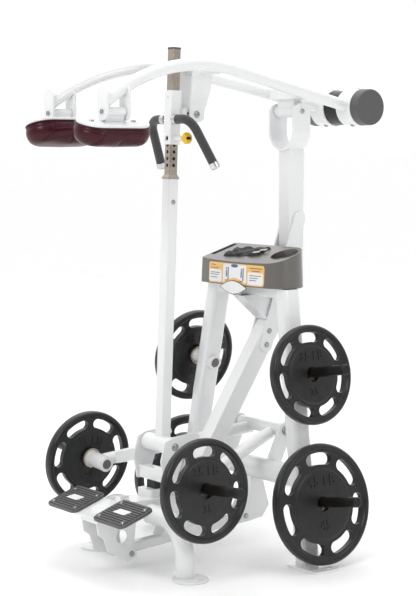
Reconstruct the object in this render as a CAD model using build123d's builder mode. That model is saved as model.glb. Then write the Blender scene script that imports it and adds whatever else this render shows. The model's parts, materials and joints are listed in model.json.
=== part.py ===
"""Plate-loaded standing calf raise machine.

Millimetres. +Z up, the user stands at -Y, X is across the machine, and the YZ plane is its plane of
symmetry. The origin is on the floor, in the middle of the machine's length.

A parallelogram linkage carries the load: the shoulder arms turn on the yoke, the post hangs between
the arms and the lever, and the lever turns on the rear cross tube's ears.
"""
from build123d import *
import math
import os

os.makedirs("parts", exist_ok=True)

# ---------------------------------------------------------------- driving dimensions
SIDES = {"left": -1, "right": 1}

# pivots of the parallelogram, as (Y, Z)
YOKE = (369.0, 1689.0)
HUB = (-253.0, 443.0)
LEVER = (235.0, 461.0)
HANGER = (YOKE[0] - LEVER[0] + HUB[0], YOKE[1] - LEVER[1] + HUB[1])

# frame
FOOT_THICK = 8.0
LEG_X, LEG_Y, LEG_R, LEG_WALL = 272.0, -339.0, 37.5, 3.0
LEG_RISE, LEG_BEND = 199.0, 130.0
DISC_X, DISC_R = 302.0, 66.5
FRONT_BOLT_X, REAR_BOLT_X, REAR_BOLT_Y, BOLT_HOLE_R = 350.0, 505.0, 145.0, 6.5
SPINE_HALF, SPINE_LOW, SPINE_HIGH = 55.0, 190.0, 252.0
SPINE_FRONT, SPINE_REAR = -575.0, -140.0
STEP_FRONT, STEP_REAR, STEP_HALF, STEP_HIGH = -330.0, -200.0, 45.0, 281.0
PAD_X, PAD_Y, PAD_Z, PAD_TILT = 155.5, -533.5, 249.0, 19.0
PAD_WIDE, PAD_LONG, PAD_THICK, PAD_ROUND = 196.0, 152.0, 14.0, 28.0
PLATFORM_WIDE, PLATFORM_DEEP, PLATFORM_THICK = 480.0, 126.0, 8.0
SCREW_X, SCREW_Y = 74.5, 51.0
PEDESTAL_X, PEDESTAL_THICK = 46.0, 6.0
PEDESTAL_BOLT = (-422.0, 59.0)
BASE_FRONT, BASE_REAR, BASE_WIDE = (-424.0, 68.0), (150.0, 110.0), 36.0
COLUMN_TOP, COLUMN_FOOT, COLUMN_REACH = (211.0, 184.0), (388.0, 142.0), 1000.0
COLUMN_WIDE, COLUMN_DEEP, COLUMN_ROUND, COLUMN_WALL = 64.0, 82.0, 20.0, 3.0
COLUMN_HEIGHT = 1016.0
CROSS_Y, CROSS_Z, CROSS_R = 165.0, 313.0, 42.0
EAR_X, EAR_THICK, EAR_R = 134.0, 12.0, 32.0
GUSSET_X, GUSSET_THICK, GUSSET_BOLT = 34.0, 6.0, (124.0, 122.0)
UPRIGHT_WIDE, UPRIGHT_DEEP, UPRIGHT_Y, UPRIGHT_TOP = 66.0, 80.0, 380.0, 1572.0
BRACE_HIGH, BRACE_LOW = (380.0, 1034.0), (-252.0, 60.0)
BRACE_WIDE, BRACE_DEEP = 66.0, 76.0
SPLICE_HIGH, SPLICE_LOW, SPLICE_R, SPLICE_THICK = (391.0, 1272.0), (225.0, 785.0), 28.0, 7.0
YOKE_HALF, YOKE_THICK, YOKE_WIDE, YOKE_BASE = 76.0, 10.0, 86.0, 1536.0
PIN_R, RUNNING = 12.5, 0.05
FIXED_GAP = 0.3

# post and height sleeve; heights run along the post from the hub
POST_OFFSET, POST_LEAN = 8.0, 2.3
POST_WIDE, CHROME_WIDE, SLEEVE_WIDE = 44.0, 35.0, 46.0
POST_TOP, COLLAR_LIP, COLLAR_TALL, CHROME_LOW, CHROME_TOP = 990.0, 5.0, 17.0, 760.0, 1470.0
SLEEVE_LOW, SLEEVE_TOP, SLEEVE_GAP = 1117.0, 1316.0, 0.4
HOLE_PITCH, HOLE_R, HOLES_FROM, HOLES_TO = 25.0, 6.5, 1040.0, 1290.0
CAP_SKIRT = 3.0
PULL_HEIGHT, PLUNGER_R, BARREL_R, BARREL_END = 1140.0, 5.0, 10.0, 72.0
KNOB_R, KNOB_FROM, KNOB_TO = 22.5, 83.0, 106.0
LUG_HALF, LUG_REAR, LUG_TALL, LUG_SLOT = 34.0, -74.0, 44.0, (72.0, 26.0)
HANDLE_Y, HANDLE_Z, HANDLE_OUT = -206.0, 1652.0, 127.0
HANDLE_END, HANDLE_BEND, HANDLE_R, GRIP_R = (165.0, -133.0, 1494.0), 60.0, 13.0, 17.0
HANDLE_RING, HANDLE_CAP, CAP_LONG = (27.0, 48.0), 18.5, 26.0

# lever
LEVER_TUBE_R, LEVER_HALF = 25.0, 131.0
LEVER_ARM_X, LEVER_ARM_DROP, LEVER_ARM_R, LEVER_ARM_WALL = 65.0, 11.0, 24.0, 3.0
HORN_X, HORN_Y, HORN_Z, HORN_TILT = 380.0, -333.0, 346.2, 5.0
HORN_JOIN = (290.0, -318.0, 345.0)
SIDE_PLATE_X, SIDE_PLATE_THICK = 84.0, 8.0
HUB_R, HUB_HALF = 33.0, 82.0
CROSS_BOX_FRONT, CROSS_BOX_REAR, CROSS_BOX_LOW, CROSS_BOX_HIGH = -295.0, -259.0, 310.0, 357.0

# arms
ARM_R, ARM_BORE = 23.0, 20.0
ARM_REAR_X, ARM_REAR_Y, ARM_TOE = 82.0, 617.0, 4.55
ARM_TANGENT_Y, ARM_TANGENT_Z, ARM_SLOPE, ARM_BEND = -10.0, 1833.0, 11.45, 780.0
ARM_FRONT_Y = -614.0
ARM_BOX_HALF, ARM_BOX_DEEP, ARM_BOX_HIGH = 90.0, 70.0, 1774.0
BARREL_HALF, BARREL_OUTER = 64.0, 25.0
HANGER_TUBE, HANGER_TUBE_R = (-88.0, 1836.0), 20.0
HANGER_X, HANGER_THICK, HANGER_PIN_R = 40.0, 8.0, 8.0
WEIGHT_Y, WEIGHT_Z, WEIGHT_R, CORE_R = 647.5, 1706.5, 68.0, 60.0
CLAMP_X, CLAMP_WIDE, CLAMP_R, CAP_R, CAP_END = 79.0, 80.0, 72.5, 71.0, 168.0

# shoulder pads
SHOULDER_X, ROLL_Z, ROLL_R, ROLL_PIN_R = 177.0, 1672.0, 17.0, 8.0
SHOULDER_FRONT, SHOULDER_REAR, SHOULDER_HALF = -720.0, -422.0, 75.0
SHOULDER_LOW, SHOULDER_HIGH, SHOULDER_PLATE = 1555.0, 1630.0, 1639.0
SHOULDER_ROLL, PLATE_MARGIN = 15.0, 8.0
FRONT_EAR, REAR_EAR, EAR_HALF = (-622.0, -614.0), (-530.0, -522.0), 31.0
FRONT_EAR_TOP, REAR_EAR_TOP = 1759.0, 1766.0

# weight plates: (seat X, Y and Z on the peg axis, tilt, plate radius, peg end X)
PEG_R, PEG_ROOT_R, PEG_ROOT, PEG_FREE, PLATE_BORE = 19.0, 18.6, -100.0, 22.0, 26.5
PLATE_THICK, PLATE_SLOTS, SLOT_REACH, PLATE_DROP = 42.0, 7, 13.0, 7.2
PLATE_TURNS = {("lever", -1): 180.0 / PLATE_SLOTS}
SOCKET_R, FLANGE_R, FLANGE_THICK = 30.0, 38.0, 10.0
STATIONS = {
    "upper": (363.0, 173.0, 715.2, 10.0, 187.0, 563.0),
    "lower": (440.0, 162.0, 242.2, 10.0, 225.0, 640.0),
    "lever": (HORN_X, HORN_Y, HORN_Z, HORN_TILT, 187.0, 589.0),
}
SOCKET_INNER = {"upper": 222.0, "lower": 304.0, "lever": 246.0}

# console
CONSOLE_HALF, CONSOLE_FRONT, CONSOLE_ENDS, CONSOLE_BACK = 240.0, 95.0, 112.0, 288.0
CONSOLE_LOW, CONSOLE_LIP, CONSOLE_SLOPE, CONSOLE_WALL = 1020.0, 1110.0, 17.2, 4.0
CONSOLE_LEFT_R, CONSOLE_REAR_R, CONSOLE_RIGHT_R = 16.0, 92.0, 70.0
CUP_X, CUP_Y, CUP_R, CUP_FLOOR = 166.0, 208.0, 52.0, 1066.0
TRAY_X, TRAY_WIDE, TRAY_Y, TRAY_LONG, TRAY_FLOOR = -214.0, 26.0, 212.0, 118.0, 1106.0


# ---------------------------------------------------------------- helpers
def save(part, name):
    """Label a finished piece and write it."""
    part.label = name
    export_step(part, f"parts/{name}.step")
    return part


def group(*parts):
    """Several separate solids in one node."""
    with BuildPart() as piece:
        for part in parts:
            add(part)
    return piece.part


def both(part):
    """A right-hand piece and its mirror image."""
    return group(part, mirror(part, about=Plane.YZ))


def cut(part, *tools):
    """A piece with other pieces' shapes taken out of it."""
    with BuildPart() as piece:
        add(part)
        for tool in tools:
            add(tool, mode=Mode.SUBTRACT)
    return piece.part


def rod(start, end, radius, bore=0.0):
    """A straight round bar, or a tube when it has a bore."""
    axis = Vector(*end) - Vector(*start)
    with BuildPart() as piece:
        with BuildSketch(Plane(origin=start, z_dir=axis)):
            Circle(radius)
            if bore:
                Circle(bore, mode=Mode.SUBTRACT)
        extrude(amount=axis.length)
    return piece.part


def box_tube(start, end, wide, deep, corner, wall=0.0):
    """A straight rectangular tube with round corners; its width lies along X."""
    axis = Vector(*end) - Vector(*start)
    with BuildPart() as piece:
        with BuildSketch(Plane(origin=start, x_dir=(1, 0, 0), z_dir=axis)):
            RectangleRounded(wide, deep, corner)
            if wall:
                inner = max(corner - wall, 1.0)
                RectangleRounded(wide - 2 * wall, deep - 2 * wall, inner, mode=Mode.SUBTRACT)
        extrude(amount=axis.length)
    return piece.part


def side_plate(points, x, thick, corner, holes=()):
    """A flat plate standing in the YZ plane; points are (Y, Z), holes are (Y, Z, radius)."""
    with BuildPart() as piece:
        with BuildSketch(Plane.YZ.offset(x)) as outline:
            Polygon(*points, align=None)
            fillet(outline.vertices(), corner)
            for y, z, radius in holes:
                with Locations((y, z)):
                    Circle(radius, mode=Mode.SUBTRACT)
        extrude(amount=thick)
    return piece.part


def link_plate(first, second, x, thick, radius, holes=()):
    """A flat bar with round ends standing in the YZ plane, between two (Y, Z) centres."""
    middle = ((first[0] + second[0]) / 2, (first[1] + second[1]) / 2)
    angle = math.degrees(math.atan2(second[1] - first[1], second[0] - first[0]))
    with BuildPart() as piece:
        with BuildSketch(Plane.YZ.offset(x)):
            with Locations(middle):
                SlotCenterToCenter(math.dist(first, second), 2 * radius, rotation=angle)
            for y, z, hole in holes:
                with Locations((y, z)):
                    Circle(hole, mode=Mode.SUBTRACT)
        extrude(amount=thick)
    return piece.part


def block(x0, x1, y0, y1, z0, z1, corner=0.0):
    """A box between two corners, with rounded upright edges."""
    with BuildPart() as piece:
        with BuildSketch(Plane.XY.offset(z0)):
            with Locations(((x0 + x1) / 2, (y0 + y1) / 2)):
                if corner:
                    RectangleRounded(x1 - x0, y1 - y0, corner)
                else:
                    Rectangle(x1 - x0, y1 - y0)
        extrude(amount=z1 - z0)
    return piece.part


def dome_screw(plane, head, shank, length):
    """A dome-head screw: head above the plane, shank below it."""
    with BuildPart() as piece:
        with BuildSketch(plane):
            Circle(head)
        extrude(amount=head * 0.45)
        fillet(piece.edges().group_by(Axis(plane.origin, plane.z_dir))[-1], head * 0.4)
        with BuildSketch(plane):
            Circle(shank)
        extrude(amount=-length)
    return piece.part


def trim(part, origin, away):
    """The part of a piece behind the plane through origin that faces away."""
    with BuildPart() as piece:
        add(part)
        split(bisect_by=Plane(origin=origin, z_dir=away), keep=Keep.BOTTOM)
    return piece.part


def largest(part):
    """The biggest solid of a piece, without any offcuts."""
    return Part(part.solids().sort_by(SortBy.VOLUME)[-1].wrapped)


def level(part, low, high):
    """A piece cut off level at two heights."""
    return trim(trim(part, (0, 0, high), (0, 0, 1)), (0, 0, low), (0, 0, -1))


# ---------------------------------------------------------------- frame: feet and spine
def front_leg():
    """The right front leg: a tube that bends from the spine down to its foot disc."""
    with BuildPart() as leg:
        with BuildLine(Plane.XZ.offset(-LEG_Y)) as path:
            corners = [(LEG_X, FOOT_THICK), (LEG_X, LEG_RISE), (SPINE_HALF, LEG_RISE)]
            FilletPolyline(*corners, radius=LEG_BEND)
        with BuildSketch(Plane.XY.offset(FOOT_THICK).move(Location((LEG_X, LEG_Y, 0)))):
            Circle(LEG_R)
            Circle(LEG_R - LEG_WALL, mode=Mode.SUBTRACT)
        sweep(path=path.line)
    return leg.part


def foot_disc():
    """The right front foot: a round plate with a floor bolt hole."""
    with BuildPart() as disc:
        with BuildSketch():
            with Locations((DISC_X, LEG_Y)):
                Circle(DISC_R)
            with Locations((FRONT_BOLT_X, LEG_Y)):
                Circle(BOLT_HOLE_R, mode=Mode.SUBTRACT)
        extrude(amount=FOOT_THICK)
        chamfer(disc.edges().group_by(Axis.Z)[-1], 1.5)
    return disc.part


def rear_foot():
    """The right rear foot: a plate that reaches outboard of its column, with a bolt hole."""
    with BuildPart() as foot:
        with BuildSketch():
            with Locations((440, 124)):
                RectangleRounded(174, 124, 20)
            with Locations((REAR_BOLT_X, REAR_BOLT_Y)):
                Circle(BOLT_HOLE_R, mode=Mode.SUBTRACT)
        extrude(amount=FOOT_THICK)
        chamfer(foot.edges().group_by(Axis.Z)[-1], 1.5)
    return foot.part


tilt = math.radians(PAD_TILT)
pad_normal = (0, -math.sin(tilt), math.cos(tilt))


def pad_plane(x, depth):
    """A plane parallel to the foot pads' tops, at a depth below them."""
    origin = Vector(x, PAD_Y, PAD_Z) - Vector(*pad_normal) * depth
    return Plane(origin=origin, x_dir=(1, 0, 0), z_dir=pad_normal)


def foot_pad(x):
    """A ribbed rubber foot pad with counterbored screw holes."""
    grooves = 7
    with BuildPart() as pad:
        with BuildSketch(pad_plane(x, PAD_THICK)):
            RectangleRounded(PAD_WIDE, PAD_LONG, PAD_ROUND)
        extrude(amount=PAD_THICK)
        with BuildSketch(pad_plane(x, 0)):
            with GridLocations(0, PAD_LONG / (grooves + 1), 1, grooves):
                Rectangle(PAD_WIDE - 2 * PAD_ROUND, 4)
        extrude(amount=-2, mode=Mode.SUBTRACT)
        with BuildSketch(pad_plane(x, PAD_THICK)):
            with Locations((-SCREW_X, -SCREW_Y), (SCREW_X, SCREW_Y)):
                Circle(8.5)
        extrude(amount=PAD_THICK, mode=Mode.SUBTRACT)
    return pad.part


def pad_screw(x, y):
    """A dome-head screw that holds a foot pad to its platform."""
    plane = pad_plane(x, PAD_THICK)
    plane.origin = plane.from_local_coords(Vector(*y, 0))
    return dome_screw(plane, 8, 4, PLATFORM_THICK)


with BuildPart() as platform:
    with BuildSketch(pad_plane(0, PAD_THICK + PLATFORM_THICK)):
        RectangleRounded(PLATFORM_WIDE, PLATFORM_DEEP, 18)
        for side in SIDES.values():
            inner, outer = side * (PAD_X - SCREW_X), side * (PAD_X + SCREW_X)
            with Locations((inner, -SCREW_Y), (outer, SCREW_Y)):
                Circle(4, mode=Mode.SUBTRACT)
    extrude(amount=PLATFORM_THICK)

with BuildPart() as above_platform:
    with BuildSketch(pad_plane(0, PAD_THICK + PLATFORM_THICK)):
        Rectangle(800, 700)
    extrude(amount=400)

brace_axis = Vector(0, BRACE_HIGH[0] - BRACE_LOW[0], BRACE_HIGH[1] - BRACE_LOW[1]).normalized()
base_rise = (BASE_REAR[1] - BASE_FRONT[1]) / (BASE_REAR[0] - BASE_FRONT[0])


def brace(wall):
    """The diagonal's tube from below the base tube to beyond the upright."""
    high = Vector(0, *BRACE_HIGH) + brace_axis * 80
    return box_tube((0, *BRACE_LOW), tuple(high), BRACE_WIDE, BRACE_DEEP, 8, wall)


pedestal_outline = [
    (-574, SPINE_LOW), (-567, 148), (-542, 128), (-527, 84), (-438, 32), (-398, 46), (-410, 106),
    (-400, SPINE_LOW),
]
spine = block(-SPINE_HALF, SPINE_HALF, SPINE_FRONT, SPINE_REAR, SPINE_LOW, SPINE_HIGH)
step = block(-STEP_HALF, STEP_HALF, STEP_FRONT, STEP_REAR, SPINE_HIGH, STEP_HIGH, 8)
step = cut(step, brace(0))
spine = cut(spine, brace(0), above_platform.part)
base_tube = box_tube((0, *BASE_FRONT), (0, *BASE_REAR), BASE_WIDE, BASE_WIDE, 5)
under_base = box_tube(
    (0, BASE_FRONT[0], BASE_FRONT[1] - 80), (0, BASE_REAR[0], BASE_REAR[1] - 80), 200,
    BASE_WIDE + 160, 1)
pedestal = side_plate(
    pedestal_outline, PEDESTAL_X, PEDESTAL_THICK, 6, [(-465, 129, 25), (*PEDESTAL_BOLT, 6)])
base_tube = cut(base_tube, rod((-60, *PEDESTAL_BOLT), (60, *PEDESTAL_BOLT), 6),
                rod((-60, *GUSSET_BOLT), (60, *GUSSET_BOLT), 6))

save(both(front_leg()), "front_legs")
save(group(both(foot_disc()), both(rear_foot())), "foot_plates")
save(base_tube, "base_tube")
save(group(spine, step), "foot_spine")
save(platform.part, "platform_plate")
save(both(foot_pad(PAD_X)), "foot_pads")
save(both(pedestal), "pedestal_plates")


# ---------------------------------------------------------------- frame: columns and upright
def column(wall):
    """The right rear column, leaning in from its foot to the console."""
    lean = Vector(COLUMN_TOP[0] - COLUMN_FOOT[0], COLUMN_TOP[1] - COLUMN_FOOT[1], COLUMN_REACH)
    start = Vector(*COLUMN_FOOT, 0) - lean * 0.06
    end = Vector(*COLUMN_TOP, COLUMN_REACH) + lean * 0.06
    tube = box_tube(tuple(start), tuple(end), COLUMN_WIDE, COLUMN_DEEP, COLUMN_ROUND, wall)
    return level(tube, FOOT_THICK, COLUMN_HEIGHT)


def peg_axis(station, along, side=1):
    """A point on a station's peg axis, a distance outboard of the plate's seat."""
    x, y, z, lean, radius, end = STATIONS[station]
    lean = math.radians(lean)
    return (side * (x + along * math.cos(lean)), y, z + along * math.sin(lean))


def along_peg(station, x):
    """The distance along a station's peg axis at which it reaches X."""
    return (x - STATIONS[station][0]) / math.cos(math.radians(STATIONS[station][3]))


def peg_rod(station, start, end, radius, bore=0.0):
    """A round piece on a station's right-hand peg axis."""
    return rod(peg_axis(station, start), peg_axis(station, end), radius, bore)


column_solid = column(0)
cross_solid = rod((-332, CROSS_Y, CROSS_Z), (332, CROSS_Y, CROSS_Z), CROSS_R)
socket_ways = [peg_rod(name, -260, 60, SOCKET_R) for name in ("upper", "lower")]
columns = cut(column(COLUMN_WALL), *socket_ways)
cross_tube = cut(
    rod((-332, CROSS_Y, CROSS_Z), (332, CROSS_Y, CROSS_Z), CROSS_R, CROSS_R - 4),
    both(column_solid))

gusset_outline = [
    (102, 116), (112, 142), (148, 205), (152, 290), (200, 290), (240, 152), (206, 108), (130, 98)]
gusset = cut(
    side_plate(gusset_outline, GUSSET_X, GUSSET_THICK, 8, [(*GUSSET_BOLT, 6)]), cross_solid)
ear = cut(
    link_plate((CROSS_Y, CROSS_Z), LEVER, EAR_X, EAR_THICK, EAR_R, [(*LEVER, PIN_R + RUNNING)]),
    cross_solid)

upright = box_tube(
    (0, UPRIGHT_Y, BRACE_HIGH[1] - 60), (0, UPRIGHT_Y, UPRIGHT_TOP), UPRIGHT_WIDE, UPRIGHT_DEEP, 8,
    3.5)
mitre = (brace_axis + Vector(0, 0, 1)).normalized()
diagonal = trim(brace(3.5), (0, *BRACE_HIGH), tuple(mitre))
diagonal = cut(diagonal, under_base)
yoke_round = YOKE_BASE + YOKE_HALF
yoke_solid = rod(
    (0, YOKE[0] - 70, yoke_round), (0, YOKE[0] + 70, yoke_round), YOKE_HALF)
upright = cut(trim(upright, (0, *BRACE_HIGH), tuple(-mitre)), yoke_solid)
splice_bolts = [
    (346, 1140), (326, 1080), (238, 838), SPLICE_LOW]
splice = link_plate(
    SPLICE_HIGH, SPLICE_LOW, UPRIGHT_WIDE / 2, SPLICE_THICK, SPLICE_R,
    [(y, z, 6) for y, z in splice_bolts])

with BuildPart() as yoke:
    with BuildSketch(Plane.XZ.offset(-YOKE[0] - YOKE_WIDE / 2)):
        for half, keep in ((YOKE_HALF, Mode.ADD), (YOKE_HALF - YOKE_THICK, Mode.SUBTRACT)):
            with Locations((0, yoke_round)):
                Circle(half, mode=keep)
            with Locations((0, yoke_round + 60)):
                Rectangle(2 * half, 120, mode=keep)
    extrude(amount=YOKE_WIDE)
    with BuildSketch(Plane.YZ.offset(-YOKE_HALF)):
        with Locations((YOKE[0], (YOKE[1] + YOKE_BASE) / 2)):
            Rectangle(YOKE_WIDE, YOKE[1] - YOKE_BASE)
        with Locations(YOKE):
            Circle(YOKE_WIDE / 2)
            Circle(PIN_R + RUNNING, mode=Mode.SUBTRACT)
    extrude(amount=2 * YOKE_HALF, mode=Mode.INTERSECT)

save(both(columns), "rear_columns")
save(cross_tube, "rear_cross_tube")
save(group(both(gusset), both(ear)), "rear_brackets")
save(diagonal, "diagonal_brace")
save(upright, "rear_upright")
save(both(splice), "splice_plates")
save(yoke.part, "yoke")


# ---------------------------------------------------------------- pins and bolts
def headed_pin(pivot, half, radius, head):
    """A pivot pin across the machine with a dome head at each end."""
    shaft = rod((-half, *pivot), (half, *pivot), radius)
    heads = [
        dome_screw(Plane(origin=(x * half, *pivot), z_dir=(x, 0, 0)), head, radius, 1.0)
        for x in (-1, 1)]
    return group(shaft, *heads)


def cross_bolt(pivot, half, radius=6.0, head=11.0):
    """A bolt right across a welded bracket, with a dome head at each side."""
    return headed_pin(pivot, half, radius, head)


def side_screw(y, z, x, radius=6.0, head=11.0):
    """A pair of screws into the two side faces of a bracket."""
    screw = dome_screw(Plane(origin=(x, y, z), z_dir=(1, 0, 0)), head, radius, SPLICE_THICK)
    return both(screw)


floor_screws = [
    both(pad_screw(PAD_X, spot)) for spot in ((-SCREW_X, -SCREW_Y), (SCREW_X, SCREW_Y))]
splice_screws = [side_screw(y, z, UPRIGHT_WIDE / 2 + SPLICE_THICK) for y, z in splice_bolts]
pedestal_cross = cross_bolt(PEDESTAL_BOLT, PEDESTAL_X + PEDESTAL_THICK)
gusset_cross = cross_bolt(GUSSET_BOLT, GUSSET_X + GUSSET_THICK)
save(group(*floor_screws, *splice_screws, pedestal_cross, gusset_cross), "frame_bolts")
save(headed_pin(LEVER, EAR_X + EAR_THICK + FIXED_GAP, PIN_R, 18), "pivot_pin")

# ---------------------------------------------------------------- console
slope = math.radians(CONSOLE_SLOPE)
deck_normal = (0, -math.sin(slope), math.cos(slope))


def deck_height(y, below=0.0):
    """The height of the console's sloping deck at Y."""
    return CONSOLE_LIP + (y - CONSOLE_FRONT) * math.tan(slope) - below


def console_outline(inset):
    """The console seen from above: a bowed front and a rounded cup-holder end."""
    half, front, back = CONSOLE_HALF - inset, CONSOLE_FRONT + inset, CONSOLE_BACK - inset
    ends = CONSOLE_ENDS + inset
    with BuildSketch(Plane.XY.offset(CONSOLE_LOW)) as outline:
        with BuildLine():
            ThreePointArc((-half, ends), (0, front), (half, ends))
            Polyline((half, ends), (half, back), (-half, back), (-half, ends))
        make_face()
        for left in outline.vertices().sort_by(Axis.X)[:2]:
            fillet(left, CONSOLE_LEFT_R - inset)
        for corner, radius in ((-1, CONSOLE_REAR_R), (0, CONSOLE_RIGHT_R)):
            right = outline.vertices().filter_by(lambda v: v.X > half - 1).sort_by(Axis.Y)
            fillet(right[corner], radius - inset)
    return outline.sketch


def console_block(inset, low, below):
    """The console's shape, inset all round and below the deck."""
    with BuildPart() as shape:
        add(console_outline(inset))
        extrude(amount=200, taper=2.5)
    shape = trim(shape.part, (0, CONSOLE_FRONT, deck_height(CONSOLE_FRONT, below)), deck_normal)
    return trim(shape, (0, 0, low), (0, 0, -1))


inside = console_block(CONSOLE_WALL, CONSOLE_LOW, CONSOLE_WALL)
cup_way = rod((CUP_X, CUP_Y, CUP_FLOOR), (CUP_X, CUP_Y, 1300), CUP_R)
cup_wall = rod((CUP_X, CUP_Y, CUP_FLOOR - 3), (CUP_X, CUP_Y, 1300), CUP_R + 3)
tray_way = block(
    TRAY_X - TRAY_WIDE / 2, TRAY_X + TRAY_WIDE / 2, TRAY_Y - TRAY_LONG / 2, TRAY_Y + TRAY_LONG / 2,
    TRAY_FLOOR, 1300, 6)
tray_wall = block(
    TRAY_X - TRAY_WIDE / 2 - 3, TRAY_X + TRAY_WIDE / 2 + 3, TRAY_Y - TRAY_LONG / 2 - 3,
    TRAY_Y + TRAY_LONG / 2 + 3, TRAY_FLOOR - 3, 1300, 9)
hollow = cut(inside, cup_wall, tray_wall)
console = cut(console_block(0, CONSOLE_LOW, 0), hollow, cup_way, tray_way)

with BuildPart() as mat:
    with BuildSketch(Plane(
            origin=(-48, 196, deck_height(196)), x_dir=(1, 0.14, 0.05), z_dir=deck_normal)):
        RectangleRounded(180, 86, 8)
    extrude(amount=12)

with BuildPart() as placard:
    with BuildSketch(Plane.XZ.offset(-CONSOLE_FRONT + 3)):
        with BuildLine():
            Polyline((-172, 1104), (172, 1102), (156, 1016), (80, 1013))
            ThreePointArc((80, 1013), (0, 1034), (-80, 1013))
            Polyline((-80, 1013), (-160, 1020), (-172, 1104))
        make_face()
        with BuildLine():
            ThreePointArc((-84, 1013), (0, 1038), (84, 1013))
            ThreePointArc((84, 1013), (0, 988), (-84, 1013))
        make_face()
    extrude(amount=-60)
placard_back = console_block(-2.5, 900, -40)
placard_front = cut(placard.part, cut(placard.part, placard_back))
badge_backing = block(-90, 90, CONSOLE_FRONT, CONSOLE_FRONT + 60, CONSOLE_LOW, 1200)
placard_skin = cut(placard_front, console_block(0, CONSOLE_LOW, -40), badge_backing)

with BuildPart() as bracket:
    with BuildSketch(Plane.XY.offset(COLUMN_HEIGHT)):
        with Locations((0, 200)):
            RectangleRounded(460, 150, 20)
    extrude(amount=CONSOLE_LOW - COLUMN_HEIGHT)
head_bar = cut(
    block(-200, 200, 152, 216, COLUMN_HEIGHT - 34, COLUMN_HEIGHT, 2), both(column_solid), brace(0))
flange_low = (236, 886)
bracket_flange = side_plate(
    [(112, 982), (122, 982), (flange_low[0], 890), (228, 884)], -32, 64, 1)
bracket_web = side_plate([(124, 982), (302, 982), (236, 891)], 22, 6, 1)
splice_way = both(link_plate(
    SPLICE_HIGH, SPLICE_LOW, UPRIGHT_WIDE / 2 - 1, SPLICE_THICK + 2, SPLICE_R + 1))
console = cut(console, splice_way)
save(console, "console_housing")
save(mat.part, "console_mat")
save(placard_skin, "console_placard")
bracket_webs = both(cut(bracket_web, brace(0)))
console_bracket = group(
    cut(bracket.part, splice_way), head_bar, cut(bracket_flange, brace(0)), bracket_webs)
save(console_bracket, "console_bracket")

# ---------------------------------------------------------------- weight stations
sockets = {
    name: peg_rod(name, along_peg(name, SOCKET_INNER[name]), -31.5, SOCKET_R, PEG_ROOT_R)
    for name in STATIONS}
flanges = {
    name: peg_rod(name, -31.5, -31.5 + FLANGE_THICK, FLANGE_R, PEG_ROOT_R) for name in STATIONS}


def peg(station):
    """A plate peg: a dark bar with a rounded outer end."""
    end = along_peg(station, STATIONS[station][5])
    with BuildPart() as bar:
        add(peg_rod(station, PEG_ROOT, PEG_FREE, PEG_ROOT_R))
        add(peg_rod(station, PEG_FREE, end, PEG_R))
        fillet(bar.edges().sort_by(Axis.X)[-1], 5)
    return bar.part


def weight_plate(station, side):
    """A cast weight plate with seven finger slots, hanging on its peg."""
    x, y, z, lean, radius, end = STATIONS[station]
    lean = math.radians(lean)
    centre = (side * (x + PLATE_DROP * math.sin(lean)), y, z - PLATE_DROP * math.cos(lean))
    axis = (side * math.cos(lean), 0, math.sin(lean))
    middle = Plane(origin=centre, x_dir=(0, side, 0), z_dir=axis)
    slot_line = CenterArc((0, 0), 0.75 * radius, -SLOT_REACH, 2 * SLOT_REACH)
    first_slot = 90 + PLATE_TURNS.get((station, side), 0)
    rings = [
        (radius, 0.88 * radius, PLATE_THICK), (0.9 * radius, 34, 0.42 * PLATE_THICK),
        (0.57 * radius, 30, 0.72 * PLATE_THICK), (44, PLATE_BORE, PLATE_THICK)]
    with BuildPart() as plate:
        for outer, inner, thick in rings:
            with BuildSketch(middle.offset(-thick / 2)):
                Circle(outer)
                Circle(inner, mode=Mode.SUBTRACT)
            extrude(amount=thick)
        rim = plate.edges().filter_by(GeomType.CIRCLE).sort_by(SortBy.RADIUS)[-2:]
        fillet(rim, 7)
        with BuildSketch(middle.offset(-PLATE_THICK)):
            with PolarLocations(0, PLATE_SLOTS, start_angle=first_slot):
                SlotArc(slot_line, 0.2 * radius)
        extrude(amount=2 * PLATE_THICK, mode=Mode.SUBTRACT)
        with BuildSketch(middle.offset(-PLATE_THICK)):
            Circle(PLATE_BORE)
        extrude(amount=2 * PLATE_THICK, mode=Mode.SUBTRACT)
    return plate.part


save(both(group(sockets["upper"], sockets["lower"])), "storage_sockets")
save(both(group(flanges["upper"], flanges["lower"])), "storage_flanges")
save(both(group(peg("upper"), peg("lower"))), "storage_pegs")
for side_name, side in SIDES.items():
    for station in STATIONS:
        save(weight_plate(station, side), f"{station}_plate_{side_name}")

# ---------------------------------------------------------------- lever
pivot_tube = rod((-LEVER_HALF, *LEVER), (LEVER_HALF, *LEVER), LEVER_TUBE_R, PIN_R + RUNNING)
pivot_solid = rod((-LEVER_HALF, *LEVER), (LEVER_HALF, *LEVER), LEVER_TUBE_R)
horn_solid = peg_rod("lever", along_peg("lever", SOCKET_INNER["lever"]), -31.5, SOCKET_R)
arm_start = Vector(LEVER_ARM_X, LEVER[0], LEVER[1] - LEVER_ARM_DROP)
arm_end = Vector(*HORN_JOIN)
lever_arm = rod(
    tuple(arm_start), tuple(arm_end), LEVER_ARM_R, LEVER_ARM_R - LEVER_ARM_WALL)
lever_arm_solid = rod(tuple(arm_start), tuple(arm_end), LEVER_ARM_R)
lever_arm = cut(lever_arm, pivot_solid, horn_solid)

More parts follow.
